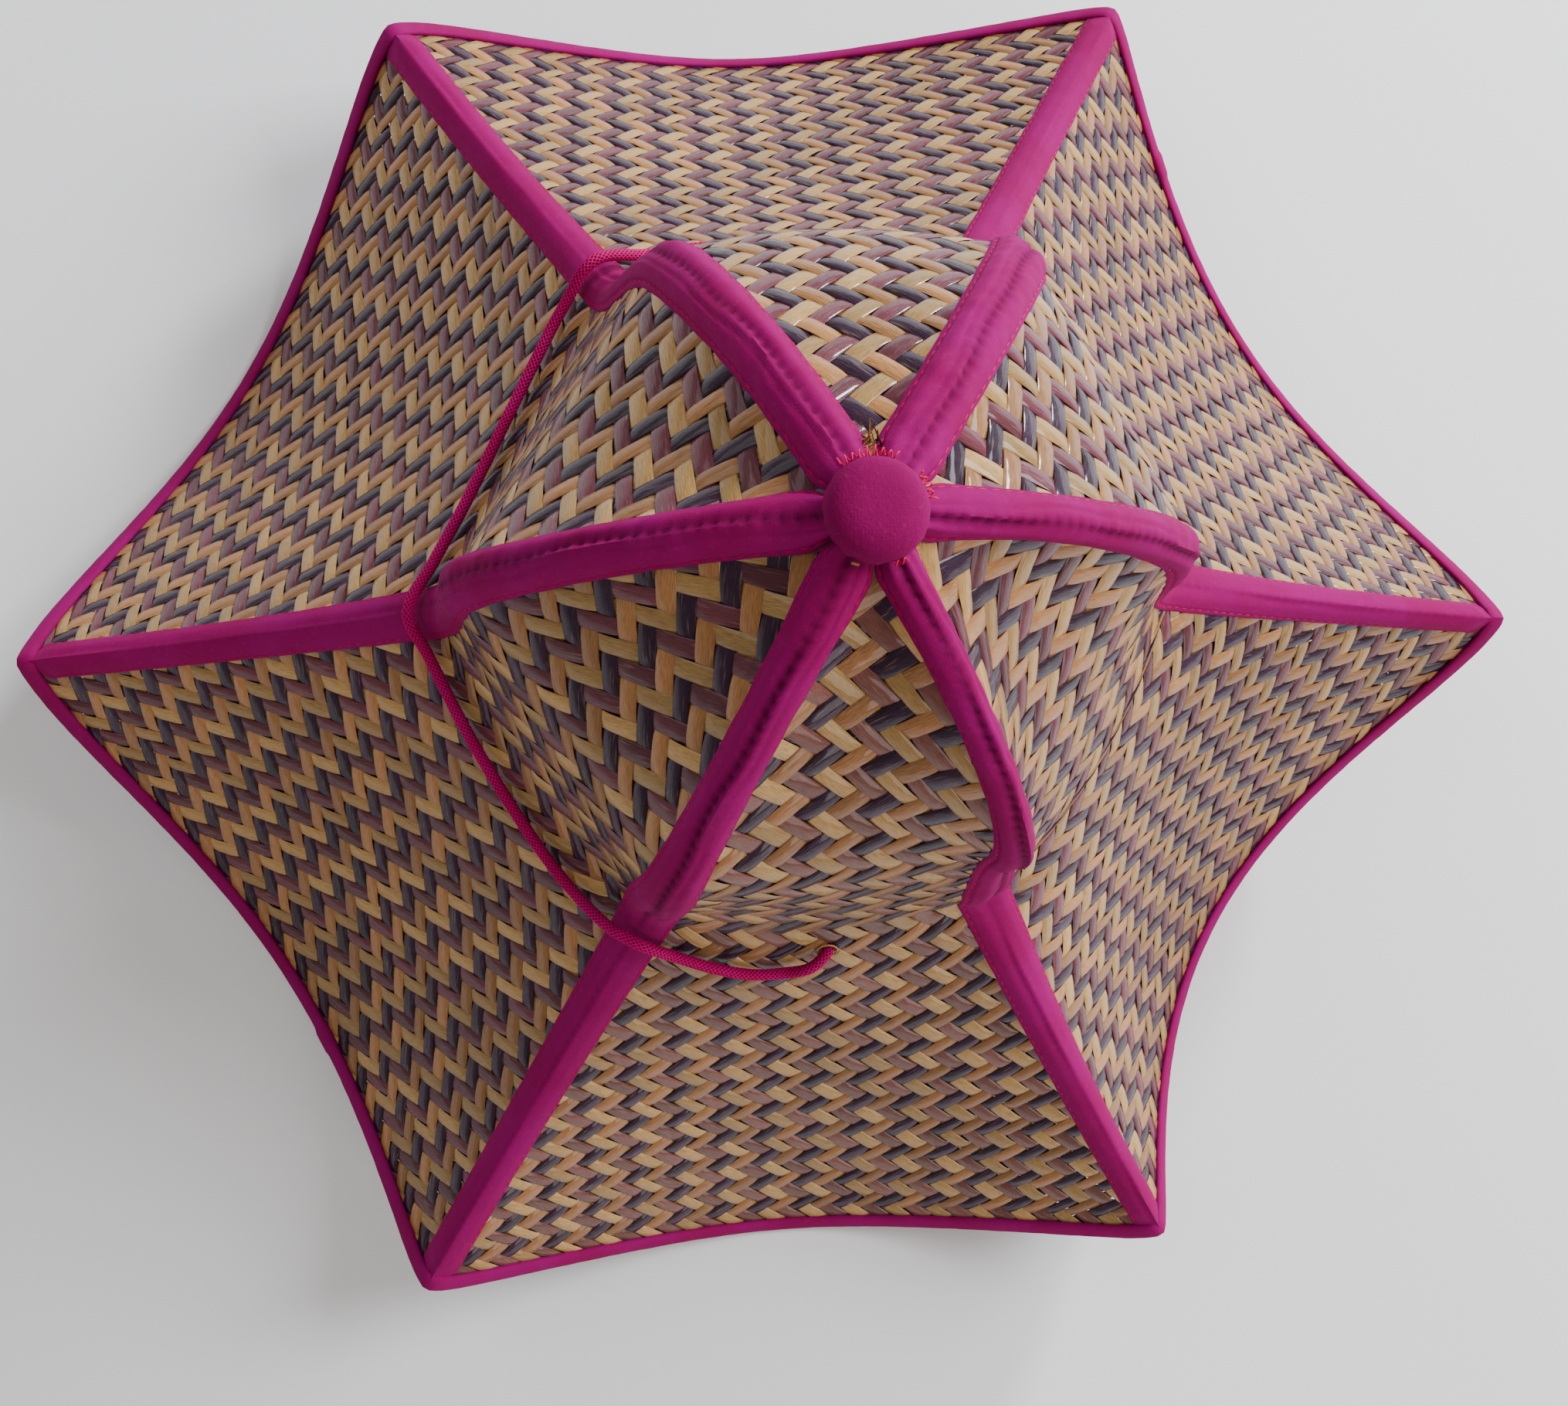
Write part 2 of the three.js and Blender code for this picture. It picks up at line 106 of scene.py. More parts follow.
SEAMS = (
    Seam("back_left", 116.9, 76.3, 120.9, 93.6, 120.7, 213, 50, 6),
    Seam("back_right", 55.5, 84, 59.8, 95.1, 58.6, 226, 42, 3),
    Seam("right", -0.7, 82, -0.7, 95.1, -2.5, 229, 69, 17),
    Seam("front_right", -60.5, 81, -62, 89.9, -59.9, 218, 42, 3, steep=True),
    Seam("front_left", -118.7, 82, -118.7, 94.8, -120.2, 217, 42, 3),
    Seam("left", -178.4, 82, -178.4, 95.6, -178.7, 222, 52, 12),
)
GORES = (
    Gore("back", 74, 86, 193.8, 0.35, 0),
    Gore("back_right", 75, 86, 195.4, 0.98, 0),
    Gore("front_right", 56, 88, 177.3, 1.52, -0.17),
    Gore("front", 66, 87, 187, 0.44, 0),
    Gore("front_left", 66, 86, 181.5, 0.89, 0),
    Gore("back_left", 64, 82, 183, 0.73, 0),
)


@dataclass(frozen=True)
class HatForm:
    """The outer face of the straw, from the same sizes as the solids."""

    foot: float = 2.5
    crown_rise: float = 222.0
    seam_sag: float = -5.7
    brim_waist_slope: float = 56.0
    brim_edge_slope: float = 46.0
    middle: tuple[float, float] = (0.79, 3.21)  # what the frame's middle lies beside the crown's axis
    seam_line: Profile = Profile(118, 169.5, 50.8, 55, 6.5)
    steep_line: Profile = Profile(116.5, 159, 93, 94, 6.5)
    face_line: Profile = Profile(116, 167, 62, 50, 20)

    def polar(self, angle: float, radius: float, rise: float) -> np.ndarray:
        """Place a point by direction, radius and height.

        Args:
            angle: direction in degrees, anticlockwise from the right.
            radius: distance from the crown's axis.
            rise: height above the edge's middle.

        Returns:
            The point in millimetres, in the frame of the solids.
        """
        a = math.radians(angle)
        x, y = radius * math.cos(a) - self.middle[0], radius * math.sin(a) - self.middle[1]
        return np.array([x, y, rise + self.foot])

    def centred(self, places: tuple) -> np.ndarray:
        """Places measured from the crown's axis, in the frame of the solids."""
        return np.array(places) - [*self.middle, 0]

    @staticmethod
    def climb(angle: float, slope: float) -> np.ndarray:
        """Unit vector that runs in from a direction while it climbs at a slope."""
        a, b = math.radians(angle), math.radians(slope)
        return np.array([-math.cos(b) * math.cos(a), -math.cos(b) * math.sin(a), math.sin(b)])

    @staticmethod
    def arc(
        a: np.ndarray, leave: np.ndarray, b: np.ndarray, arrive: np.ndarray, t: np.ndarray
    ) -> np.ndarray:
        """Cubic curve from a to b that leaves and arrives along two unit vectors.

        Args:
            a: start.
            leave: unit vector at the start.
            b: end.
            arrive: unit vector at the end.
            t: parameters from 0 to 1.

        Returns:
            One point for each parameter.
        """
        reach = np.linalg.norm(b - a) / 3
        t = t[:, None]
        first, second = a + leave * reach, b - arrive * reach
        return a * (1 - t) ** 3 + 3 * first * t * (1 - t) ** 2 + 3 * second * t**2 * (1 - t) + b * t**3

    def crown_line(
        self, low: np.ndarray, bend: np.ndarray, turn: float, lean: float, line: Profile, v: np.ndarray
    ) -> np.ndarray:
        """Crown profile.

        Args:
            low: point at the waist.
            bend: point at the shoulder.
            turn: direction at the waist.
            lean: direction at the shoulder.
            line: slopes of the profile.
            v: 0 at the waist, 1 at the shoulder, 2 at the top.

        Returns:
            One point for each v.
        """
        top = self.polar(0, 0, self.crown_rise)
        at_bend = self.climb(lean, line.shoulder)
        wall = self.arc(low, self.climb(turn, line.waist), bend, at_bend, np.clip(v, 0, 1))
        dome = self.arc(bend, at_bend, top, self.climb(lean, line.top), np.clip(v - 1, 0, 1))
        return np.where((v <= 1)[:, None], wall, dome)

    def seam(self, seam: Seam, v: np.ndarray) -> np.ndarray:
        """Line of a seam.

        Args:
            seam: the seam.
            v: 2 to 0 on the crown, 0 to -1 on the brim.

        Returns:
            One point for each v.
        """
        line = self.steep_line if seam.steep else self.seam_line
        low = self.polar(seam.turn, seam.waist, line.waist_rise)
        bend = self.polar(seam.bend, seam.shoulder, line.rise)
        crown = self.crown_line(low, bend, seam.turn, seam.bend, line, np.maximum(v, 0))
        t = np.clip(-v, 0, 1)[:, None]
        brim = low + (self.polar(seam.angle, seam.tip, seam.rise) - low) * t
        brim[:, 2] += (self.seam_sag * 4 * t * (1 - t))[:, 0]
        return np.where((v >= 0)[:, None], crown, brim)

    @staticmethod
    def halfway(a: float, b: float) -> float:
        """Direction halfway from a clockwise to b."""
        return a - ((a - b) % 360) / 2

    def middle_of(self, gore: Gore, a: Seam, b: Seam, v: np.ndarray) -> np.ndarray:
        """Middle line of a panel.

        Args:
            gore: the panel.
            a: its first seam.
            b: its second seam.
            v: as in seam.

        Returns:
            One point for each v.
        """
        turn, lean, angle = (self.halfway(getattr(a, k), getattr(b, k)) for k in ("turn", "bend", "angle"))
        low = self.polar(turn, gore.waist, self.face_line.waist_rise)
        bend = self.polar(lean, gore.shoulder, self.face_line.rise)
        crown = self.crown_line(low, bend, turn, lean, self.face_line, np.maximum(v, 0))
        leave = -self.climb(turn, self.brim_waist_slope)
        arrive = -self.climb(angle, self.brim_edge_slope)
        brim = self.arc(low, leave, self.polar(angle, gore.edge, 0), arrive, np.clip(-v, 0, 1))
        return np.where((v >= 0)[:, None], crown, brim)

    def face(self, index: int, v: np.ndarray, s: np.ndarray) -> np.ndarray:
        """Grid of points of a panel.

        Args:
            index: the panel's place in GORES.
            v: rows, as in seam.
            s: columns, from -1 at the first seam to 1 at the second.

        Returns:
            An array of rows by columns by three.
        """
        gore, first, second = GORES[index], SEAMS[index], SEAMS[(index + 1) % len(SEAMS)]
        a, b = self.seam(first, v)[:, None], self.seam(second, v)[:, None]
        m = self.middle_of(gore, first, second, v)[:, None]
        s, v = s[None, :, None], v[:, None, None]
        crown = a * s * (s - 1) / 2 + m * (1 - s**2) + b * s * (s + 1) / 2
        x, c = s + gore.shift * (1 - s**2), gore.blunt
        sharp = 1 - (np.hypot(x, c) - c) / (math.hypot(1, c) - c)
        weight = (1 - x**2) * (1 + v) - sharp * v
        brim = a * (1 - x) / 2 + b * (1 + x) / 2 + (m - (a + b) / 2) * weight
        return np.where(v >= 0, crown, brim)

    def edge_share(self, index: int, s: np.ndarray) -> np.ndarray:
        """Share of the brim left at each s once the two tips are rounded.

        Args:
            index: the panel's place in GORES.
            s: columns, as in face.

        Returns:
            One share for each s.
        """
        first, second = SEAMS[index], SEAMS[(index + 1) % len(SEAMS)]
        ends = np.array([0.0, -1.0])
        lines = [self.seam(first, ends), self.seam(second, ends)]
        half = np.linalg.norm(lines[0][1] - lines[1][1]) / 2
        share = np.ones_like(s)
        for seam, line, away in ((first, lines[0], 1 + s), (second, lines[1], 1 - s)):
            cut = seam.rounding * np.exp(-math.tan(math.radians(30)) * half * away / seam.rounding)
            share = share - cut / np.linalg.norm(line[1] - line[0])
        return share


def between(grid: np.ndarray, row: np.ndarray, column: np.ndarray) -> np.ndarray:
    """Values of a grid between its four nearest entries.

    Args:
        grid: rows by columns, of numbers or of points.
        row: row numbers with their fractions.
        column: column numbers with their fractions.

    Returns:
        One value for each place.
    """
    i = np.clip(np.floor(row).astype(int), 0, grid.shape[0] - 2)
    j = np.clip(np.floor(column).astype(int), 0, grid.shape[1] - 2)
    f, g = row - i, column - j
    if grid.ndim == 3:
        f, g = f[..., None], g[..., None]
    upper = grid[i, j] * (1 - g) + grid[i, j + 1] * g
    lower = grid[i + 1, j] * (1 - g) + grid[i + 1, j + 1] * g
    return upper * (1 - f) + lower * f


class Chart:
    """A panel laid out flat: lengths along its middle line and its rows, mapped to the surface."""

    def __init__(self, form: HatForm, index: int) -> None:
        """Sample a panel.

        Args:
            form: the hat's surface.
            index: the panel's place in GORES.
        """
        dome, wall = np.linspace(TOP_ROW, 1, DOME_ROWS), np.linspace(1, 0, WALL_ROWS)
        brim = np.linspace(0, -1, BRIM_ROWS)
        self.v = np.concatenate([dome, wall[1:], brim[1:]])
        self.s = np.linspace(-1, 1, CHART_COLUMNS)
        self.points = form.face(index, self.v, self.s)
        down = np.gradient(self.points, axis=0)
        across = np.gradient(self.points, axis=1)
        normals = np.cross(down, across)
        self.normals = normals / np.linalg.norm(normals, axis=2, keepdims=True)
        mid = len(self.s) // 2
        if self.normals[mid, mid, 2] < 0:
            self.normals = -self.normals
        self.share = form.edge_share(index, self.s)
        steps = np.linalg.norm(np.diff(self.points[:, mid], axis=0), axis=1)
        self.y = np.concatenate([[0], np.cumsum(steps)])
        self.half = {}
        self.inverse = {}
        for side, columns in ((-1, self.points[:, mid::-1]), (1, self.points[:, mid:])):
            steps = np.linalg.norm(np.diff(columns, axis=1), axis=2)
            far = np.concatenate([np.zeros((len(self.v), 1)), np.cumsum(steps, axis=1)], axis=1)
            self.half[side] = far[:, -1]
            shares = np.linspace(0, 1, CHART_SHARES)
            table = np.array([np.interp(shares * f[-1], f, np.arange(len(f))) for f in far])
            self.inverse[side] = mid + side * table

    def row_of(self, v: np.ndarray) -> np.ndarray:
        """Row number, with its fraction, of each v."""
        return np.interp(-v, -self.v, np.arange(len(self.v)))

    def half_length(self, row: np.ndarray, side: int) -> np.ndarray:
        """Length of a row from the middle to the seam on one side."""
        return np.interp(row, np.arange(len(self.v)), self.half[side])

    def column_of(self, row: np.ndarray, x: np.ndarray) -> np.ndarray:
        """Column number of a distance x from the middle along a row.

        Args:
            row: row numbers.
            x: distances, negative towards the first seam.

        Returns:
            Column numbers with their fractions.
        """
        result = np.zeros_like(x)
        for side in (-1, 1):
            share = np.clip(np.abs(x) / self.half_length(row, side), 0, 1) * (CHART_SHARES - 1)
            value = between(self.inverse[side], row, share)
            result = np.where((x < 0) == (side < 0), value, result)
        return result

    def lift(self, row: np.ndarray, x: np.ndarray) -> tuple[np.ndarray, np.ndarray]:
        """Points and normals at places of the flat panel.

        Args:
            row: row numbers.
            x: distances from the middle along the rows.

        Returns:
            Points in millimetres and unit normals, out of the hat.
        """
        column = self.column_of(row, x)
        normals = between(self.normals, row, column)
        return between(self.points, row, column), normals / np.linalg.norm(normals, axis=-1, keepdims=True)

    def inside(self, x: np.ndarray, y: np.ndarray, seam_margin: float, edge_margin: float) -> np.ndarray:
        """Which places of the flat panel lie on the straw.

        Args:
            x: distances across.
            y: distances down the middle line.
            seam_margin: what the seams keep clear.
            edge_margin: what the edge keeps clear.

        Returns:
            A mask.
        """
        row = np.interp(y, self.y, np.arange(len(self.v)))
        half = np.where(x < 0, self.half_length(row, -1), self.half_length(row, 1))
        column = self.column_of(row, x)
        limit = np.interp(column, np.arange(len(self.s)), self.share)
        v = np.interp(row, np.arange(len(self.v)), self.v)
        reach = self.y[-1] - np.interp(0, -self.v, self.y)
        on_mat = (np.abs(x) < half - seam_margin) & (-v < limit - edge_margin / reach)
        return on_mat & (y > 2) & (y < self.y[-1] - edge_margin)


def new_mesh(name: str, points: np.ndarray, faces: list | np.ndarray) -> bpy.types.Object:
    """Mesh object from points and faces.

    Args:
        name: the piece's name.
        points: vertices in millimetres.
        faces: lists of vertex numbers, or an array of quads.

    Returns:
        The object, linked to the scene.
    """
    mesh = bpy.data.meshes.new(name)
    if isinstance(faces, np.ndarray):
        count, corners = faces.shape
        mesh.vertices.add(len(points))
        mesh.vertices.foreach_set("co", (points * MM).astype(np.float32).ravel())
        mesh.loops.add(count * corners)
        mesh.loops.foreach_set("vertex_index", faces.astype(np.int32).ravel())
        mesh.polygons.add(count)
        mesh.polygons.foreach_set("loop_start", np.arange(0, count * corners, corners, dtype=np.int32))
        mesh.update(calc_edges=True)
        mesh.validate()
    else:
        mesh.from_pydata((points * MM).tolist(), [], faces)
    piece = bpy.data.objects.new(name, mesh)
    bpy.context.scene.collection.objects.link(piece)
    return piece


def pick(piece: bpy.types.Object) -> None:
    """Select one object alone and make it active.

    Args:
        piece: the object.
    """
    bpy.ops.object.select_all(action="DESELECT")
    piece.select_set(True)
    bpy.context.view_layer.objects.active = piece


def smooth(piece: bpy.types.Object, angle: float) -> None:
    """Shade a piece smooth, with creases kept above an angle in degrees."""
    pick(piece)
    bpy.ops.object.shade_smooth_by_angle(angle=math.radians(angle))


def face_out(piece: bpy.types.Object) -> None:
    """Turn every face of a closed piece outwards.

    Args:
        piece: the piece.
    """
    pick(piece)
    bpy.ops.object.mode_set(mode="EDIT")
    bpy.ops.mesh.select_all(action="SELECT")
    bpy.ops.mesh.normals_make_consistent(inside=False)
    bpy.ops.object.mode_set(mode="OBJECT")


def pairs(u: np.ndarray, v: np.ndarray) -> np.ndarray:
    """All pairs of two arrays that broadcast together, one in each row."""
    return np.stack(np.broadcast_arrays(u, v), axis=-1).reshape(-1, 2)


def lay_uv(piece: bpy.types.Object, values: np.ndarray, wrap: bool = False) -> None:
    """Give a piece a UV map from one pair of values for each vertex.

    Args:
        piece: the piece.
        values: U and V of each vertex.
        wrap: True where V runs once round a tube, from 0 to 1.
    """
    layer = piece.data.uv_layers.new(name="UVMap")
    loops = np.zeros(len(piece.data.loops), dtype=np.int32)
    piece.data.loops.foreach_get("vertex_index", loops)
    uv = values[loops]
    if wrap:
        for polygon in piece.data.polygons:
            part = slice(polygon.loop_start, polygon.loop_start + polygon.loop_total)
            if polygon.loop_total == 4 and np.ptp(uv[part, 1]) > 0.5:
                uv[part, 1] += uv[part, 1] < 0.5
    layer.data.foreach_set("uv", uv.astype(np.float32).ravel())


def colour_strands(piece: bpy.types.Object, tones: list[np.ndarray]) -> None:
    """Keep the colour that each vertex takes in the straw as the "strand" attribute."""
    tone = piece.data.attributes.new("strand", "FLOAT_COLOR", "POINT")
    tone.data.foreach_set("color", np.concatenate(tones).astype(np.float32).ravel())


def finish_piece(piece: bpy.types.Object, material: bpy.types.Material) -> None:
    """Dress a piece and let it ride on the hat.

    Args:
        piece: the piece.
        material: its finish.
    """
    piece.data.materials.clear()
    piece.data.materials.append(material)
    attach(piece, BODY)
    log.info("%s: %d faces", piece.name, len(piece.data.polygons))


def sweep(
    line: np.ndarray, section: np.ndarray, up: np.ndarray, closed: bool
) -> tuple[np.ndarray, np.ndarray]:
    """Carry a closed section along a line.

    Args:
        line: points of the line.
        section: either one outline of pairs (side, up), or one outline for each point.
        up: for each point, the direction of the outline's second value.
        closed: whether the line is a ring.

    Returns:
        Vertices, and quads that point outwards for an anticlockwise outline.
    """
    if closed:
        tangent = np.roll(line, -1, axis=0) - np.roll(line, 1, axis=0)
    else:
        tangent = np.gradient(line, axis=0)
    tangent /= np.linalg.norm(tangent, axis=1, keepdims=True)
    side = np.cross(tangent, up)
    side /= np.linalg.norm(side, axis=1, keepdims=True)
    up = np.cross(side, tangent)
    if section.ndim == 2:
        section = np.repeat(section[None], len(line), axis=0)
    rings = line[:, None] + section[..., :1] * side[:, None] + section[..., 1:] * up[:, None]
    return rings.reshape(-1, 3), ring_quads(len(line), section.shape[1], closed)


def ring_quads(count: int, sides: int, closed: bool) -> np.ndarray:
    """Quads between neighbouring rings of vertices.

    Args:
        count: how many rings there are.
        sides: vertices in each ring.
        closed: whether the last ring joins the first.

    Returns:
        Vertex numbers, four in each row.
    """
    ring = np.arange(count if closed else count - 1)[:, None]
    side = np.arange(sides)[None]
    ahead, beside = (ring + 1) % count, (side + 1) % sides
    corners = [ring * sides + side, ring * sides + beside, ahead * sides + beside, ahead * sides + side]
    return np.stack(corners, axis=-1).reshape(-1, 4)


def centripetal(points: np.ndarray, count: int) -> np.ndarray:
    """Smooth curve through points.

    Args:
        points: the points that it passes through.
        count: how many points to return for each stretch.

    Returns:
        Points of the curve, the last one included.
    """
    ends = [2 * points[0] - points[1], *points, 2 * points[-1] - points[-2]]
    result = []
    for a, b, c, d in zip(ends, ends[1:], ends[2:], ends[3:]):
        t0 = 0.0
        t1 = t0 + math.sqrt(np.linalg.norm(b - a))
        t2 = t1 + math.sqrt(np.linalg.norm(c - b))
        t3 = t2 + math.sqrt(np.linalg.norm(d - c))
        t = np.linspace(t1, t2, count, endpoint=False)[:, None]
        a1 = (t1 - t) / (t1 - t0) * a + (t - t0) / (t1 - t0) * b
        a2 = (t2 - t) / (t2 - t1) * b + (t - t1) / (t2 - t1) * c
        a3 = (t3 - t) / (t3 - t2) * c + (t - t2) / (t3 - t2) * d
        b1 = (t2 - t) / (t2 - t0) * a1 + (t - t0) / (t2 - t0) * a2
        b2 = (t3 - t) / (t3 - t1) * a2 + (t - t1) / (t3 - t1) * a3
        result.append((t2 - t) / (t2 - t1) * b1 + (t - t1) / (t2 - t1) * b2)
    result.append(points[-1:])
    return np.concatenate(result)


def evenly(line: np.ndarray, step: float, closed: bool = False) -> np.ndarray:
    """Points along a line at equal distances of about a step.

    Args:
        line: points of the line, with any number of values each.
        step: the distance wanted.
        closed: whether the line is a ring.

    Returns:
        The points. A ring's first one isn't repeated at its end.
    """
    if closed:
        line = np.concatenate([line, line[:1]])
    far = np.concatenate([[0], np.cumsum(np.linalg.norm(np.diff(line, axis=0), axis=1))])
    count = max(int(round(far[-1] / step)), 2)
    places = np.linspace(0, far[-1], count + 1)
    if closed:
        places = places[:-1]
    return np.stack([np.interp(places, far, line[:, k]) for k in range(line.shape[1])], axis=1)


def point_at(place: float, far: np.ndarray, line: np.ndarray) -> np.ndarray:
    """Point of a line at a distance along it, from the distances of its points."""
    return np.array([np.interp(place, far, line[:, k]) for k in range(3)])


def smoothed(line: np.ndarray, times: int) -> np.ndarray:
    """Ring of points or vectors, each averaged with its neighbours some times over.

    Args:
        line: the points or vectors, one in each row.
        times: how often they are averaged.

    Returns:
        As many rows as before.
    """
    for _ in range(times):
        line = (np.roll(line, 1, axis=0) + 2 * line + np.roll(line, -1, axis=0)) / 4
    return line


def ripple(along: np.ndarray, across: np.ndarray, seed: int) -> np.ndarray:
    """Soft irregular waves, about -1 to 1, over a strip laid flat.

    Args:
        along: distances along the strip.
        across: distances across it.
        seed: which strip it is.

    Returns:
        One value for each place.
    """
    rng = np.random.default_rng(seed)
    total = np.zeros(np.broadcast(along, across).shape)
    for _ in range(9):
        length, lean, phase = rng.uniform(5, 22), rng.uniform(-0.5, 0.5), rng.uniform(0, 2 * math.pi)
        wave = np.sin(2 * math.pi * (along + lean * across * 2) / length + phase)
        total = total + wave * rng.uniform(0.3, 1)
    return total / 3


class Nodes:
    """Short way to build and join shader nodes."""

    def __init__(self, tree: bpy.types.NodeTree) -> None:
        """Keep the tree."""
        self.tree = tree

    def add(self, kind: str, inputs: dict | None = None, **values: object) -> bpy.types.Node:
        """Add a node.

        Args:
            kind: the node's type.
            inputs: by name or number, a value or the socket to join.
            values: settings of the node.

        Returns:
            The node.
        """
        node = self.tree.nodes.new(kind)
        for key, value in values.items():
            setattr(node, key, value)
        for key, value in (inputs or {}).items():
            if isinstance(value, bpy.types.NodeSocket):
                self.tree.links.new(value, node.inputs[key])
            else:
                node.inputs[key].default_value = value
        return node

    def math(self, operation: str, a: object, b: object = 0.0) -> bpy.types.NodeSocket:
        """Result of an arithmetic node."""
        return self.add("ShaderNodeMath", {0: a, 1: b}, operation=operation).outputs[0]

    def mix(self, factor: object, a: object, b: object, blend: str = "MIX") -> bpy.types.NodeSocket:
        """Colour between or of two colours.

        Args:
            factor: share of the second, a number or a socket.
            a: first colour, three linear values or a socket.
            b: second colour.
            blend: how the second is laid over the first.

        Returns:
            The mixed colour's socket.
        """
        node = self.tree.nodes.new("ShaderNodeMix")
        node.data_type, node.blend_type = "RGBA", blend
        for key, value in (("Factor_Float", factor), ("A_Color", a), ("B_Color", b)):
            socket = next(s for s in node.inputs if s.identifier == key)
            if isinstance(value, bpy.types.NodeSocket):
                self.tree.links.new(value, socket)
            else:
                socket.default_value = value if key == "Factor_Float" else (*value, 1.0)
        return next(s for s in node.outputs if s.identifier == "Result_Color")

    def times(self, colour: object, tint: tuple[float, float, float]) -> bpy.types.NodeSocket:
        """Colour multiplied by a tint."""
        return self.mix(1.0, colour, tint, "MULTIPLY")

    def ramp(self, value: bpy.types.NodeSocket, low: float, high: float) -> bpy.types.NodeSocket:
        """Value mapped smoothly from low..high to 0..1.

        Args:
            value: socket of the value.
            low: what gives 0.
            high: what gives 1.

        Returns:
            The result's socket.
        """
        node = self.add("ShaderNodeMapRange", {0: value, 1: low, 2: high, 3: 0.0, 4: 1.0})
        node.interpolation_type = "SMOOTHSTEP"
        return node.outputs[0]


def new_group(
    name: str, inputs: dict[str, float], outputs: tuple[str, ...]
) -> tuple[bpy.types.NodeTree, Nodes]:
    """Shader node group with named inputs and outputs.

    Args:
        name: name of the group.
        inputs: number sockets and their usual values.
        outputs: names of the number sockets that it gives out.

    Returns:
        The group and a builder for it.
    """
    tree = bpy.data.node_groups.new(name, "ShaderNodeTree")
    for label, value in inputs.items():
        socket = tree.interface.new_socket(label, in_out="INPUT", socket_type="NodeSocketFloat")
        socket.default_value = value
    for label in outputs:
        tree.interface.new_socket(label, in_out="OUTPUT", socket_type="NodeSocketFloat")
    return tree, Nodes(tree)


def fibre_group() -> bpy.types.NodeTree:
    """Long fine fibres along a strip, from its UV map in millimetres.

    Returns:
        The group.
    """
    tree, n = new_group("fibres", {"Fineness": 4.4, "Stretch": 0.09}, ("Fibre", "Blotch", "Split"))
    source = n.add("NodeGroupInput")
    uv = n.add("ShaderNodeTexCoord").outputs["UV"]
    split = n.add("ShaderNodeSeparateXYZ", {0: uv})
    along = n.math("MULTIPLY", split.outputs[0], source.outputs["Stretch"])
    place = n.add("ShaderNodeCombineXYZ", {0: along, 1: split.outputs[1], 2: 0.0})
    streak = place.outputs[0]
    fineness = source.outputs["Fineness"]
    fine = n.add("ShaderNodeTexNoise", {"Vector": streak, "Scale": fineness, "Detail": 3.0})
    blotch = n.add("ShaderNodeTexNoise", {"Vector": uv, "Scale": 0.22, "Detail": 3.0, "Roughness": 0.6})
    coarse = n.add("ShaderNodeTexNoise", {"Vector": streak, "Scale": 1.7, "Detail": 2.0})
    result = n.add("NodeGroupOutput")
    for socket, node in (("Fibre", fine), ("Blotch", blotch), ("Split", coarse)):
        tree.links.new(node.outputs[0], result.inputs[socket])
    return tree


def cloth_group() -> bpy.types.NodeTree:
    """Fine cotton: threads, lint and slow fading, from Object coordinates.

    Returns:
        The group.
    """
    tree, n = new_group("cloth_grain", {"Threads": 2400.0, "Lint": 900.0}, ("Height", "Fleck", "Fade"))
    source = n.add("NodeGroupInput")
    place = n.add("ShaderNodeTexCoord").outputs["Object"]
    threads, fuzz = source.outputs["Threads"], source.outputs["Lint"]
    cells = n.add("ShaderNodeTexVoronoi", {"Vector": place, "Scale": threads, "Randomness": 0.7})
    lint = n.add("ShaderNodeTexNoise", {"Vector": place, "Scale": fuzz, "Detail": 3.0})
    fade = n.add("ShaderNodeTexNoise", {"Vector": place, "Scale": 38.0, "Detail": 4.0, "Roughness": 0.6})
    knots = n.math("SUBTRACT", 0.6, cells.outputs["Distance"])
    height = n.math("ADD", n.math("MULTIPLY", knots, 0.5), n.math("MULTIPLY", lint.outputs[0], 0.5))
    result = n.add("NodeGroupOutput")
    tree.links.new(height, result.inputs["Height"])
    tree.links.new(n.ramp(lint.outputs[0], 0.55, 0.75), result.inputs["Fleck"])
    tree.links.new(fade.outputs[0], result.inputs["Fade"])
    return tree


def braid_group() -> bpy.types.NodeTree:
    """Strands of a round braid and painted shade in the grooves between them, from its UV map: millimetres
    along, share round.

    Returns:
        The group.
    """
    tree, n = new_group("braid", {"Strands": 8.0, "Lay": 9.6}, ("Height", "Depth"))
    source = n.add("NodeGroupInput")
    split = n.add("ShaderNodeSeparateXYZ", {0: n.add("ShaderNodeTexCoord").outputs["UV"]})
    along = n.math("DIVIDE", split.outputs[0], source.outputs["Lay"])
    waves = []
    for operation in ("ADD", "SUBTRACT"):
        turn = n.math("MULTIPLY", n.math(operation, split.outputs[1], along), source.outputs["Strands"])
        waves.append(n.math("COSINE", n.math("MULTIPLY", turn, 2 * math.pi)))
    height = n.math("MAXIMUM", *waves)
    result = n.add("NodeGroupOutput")
    tree.links.new(height, result.inputs["Height"])
    tree.links.new(n.ramp(height, 0.7, -0.35), result.inputs["Depth"])
    return tree


def new_material(name: str) -> tuple[Nodes, bpy.types.Node, bpy.types.Material]:
    """Material with its Principled shader.

    Args:
        name: name of the finish.

    Returns:
        The node builder, the shader and the material.
    """
    material = bpy.data.materials.new(name)
    material.use_nodes = True
    n = Nodes(material.node_tree)
    return n, material.node_tree.nodes["Principled BSDF"], material


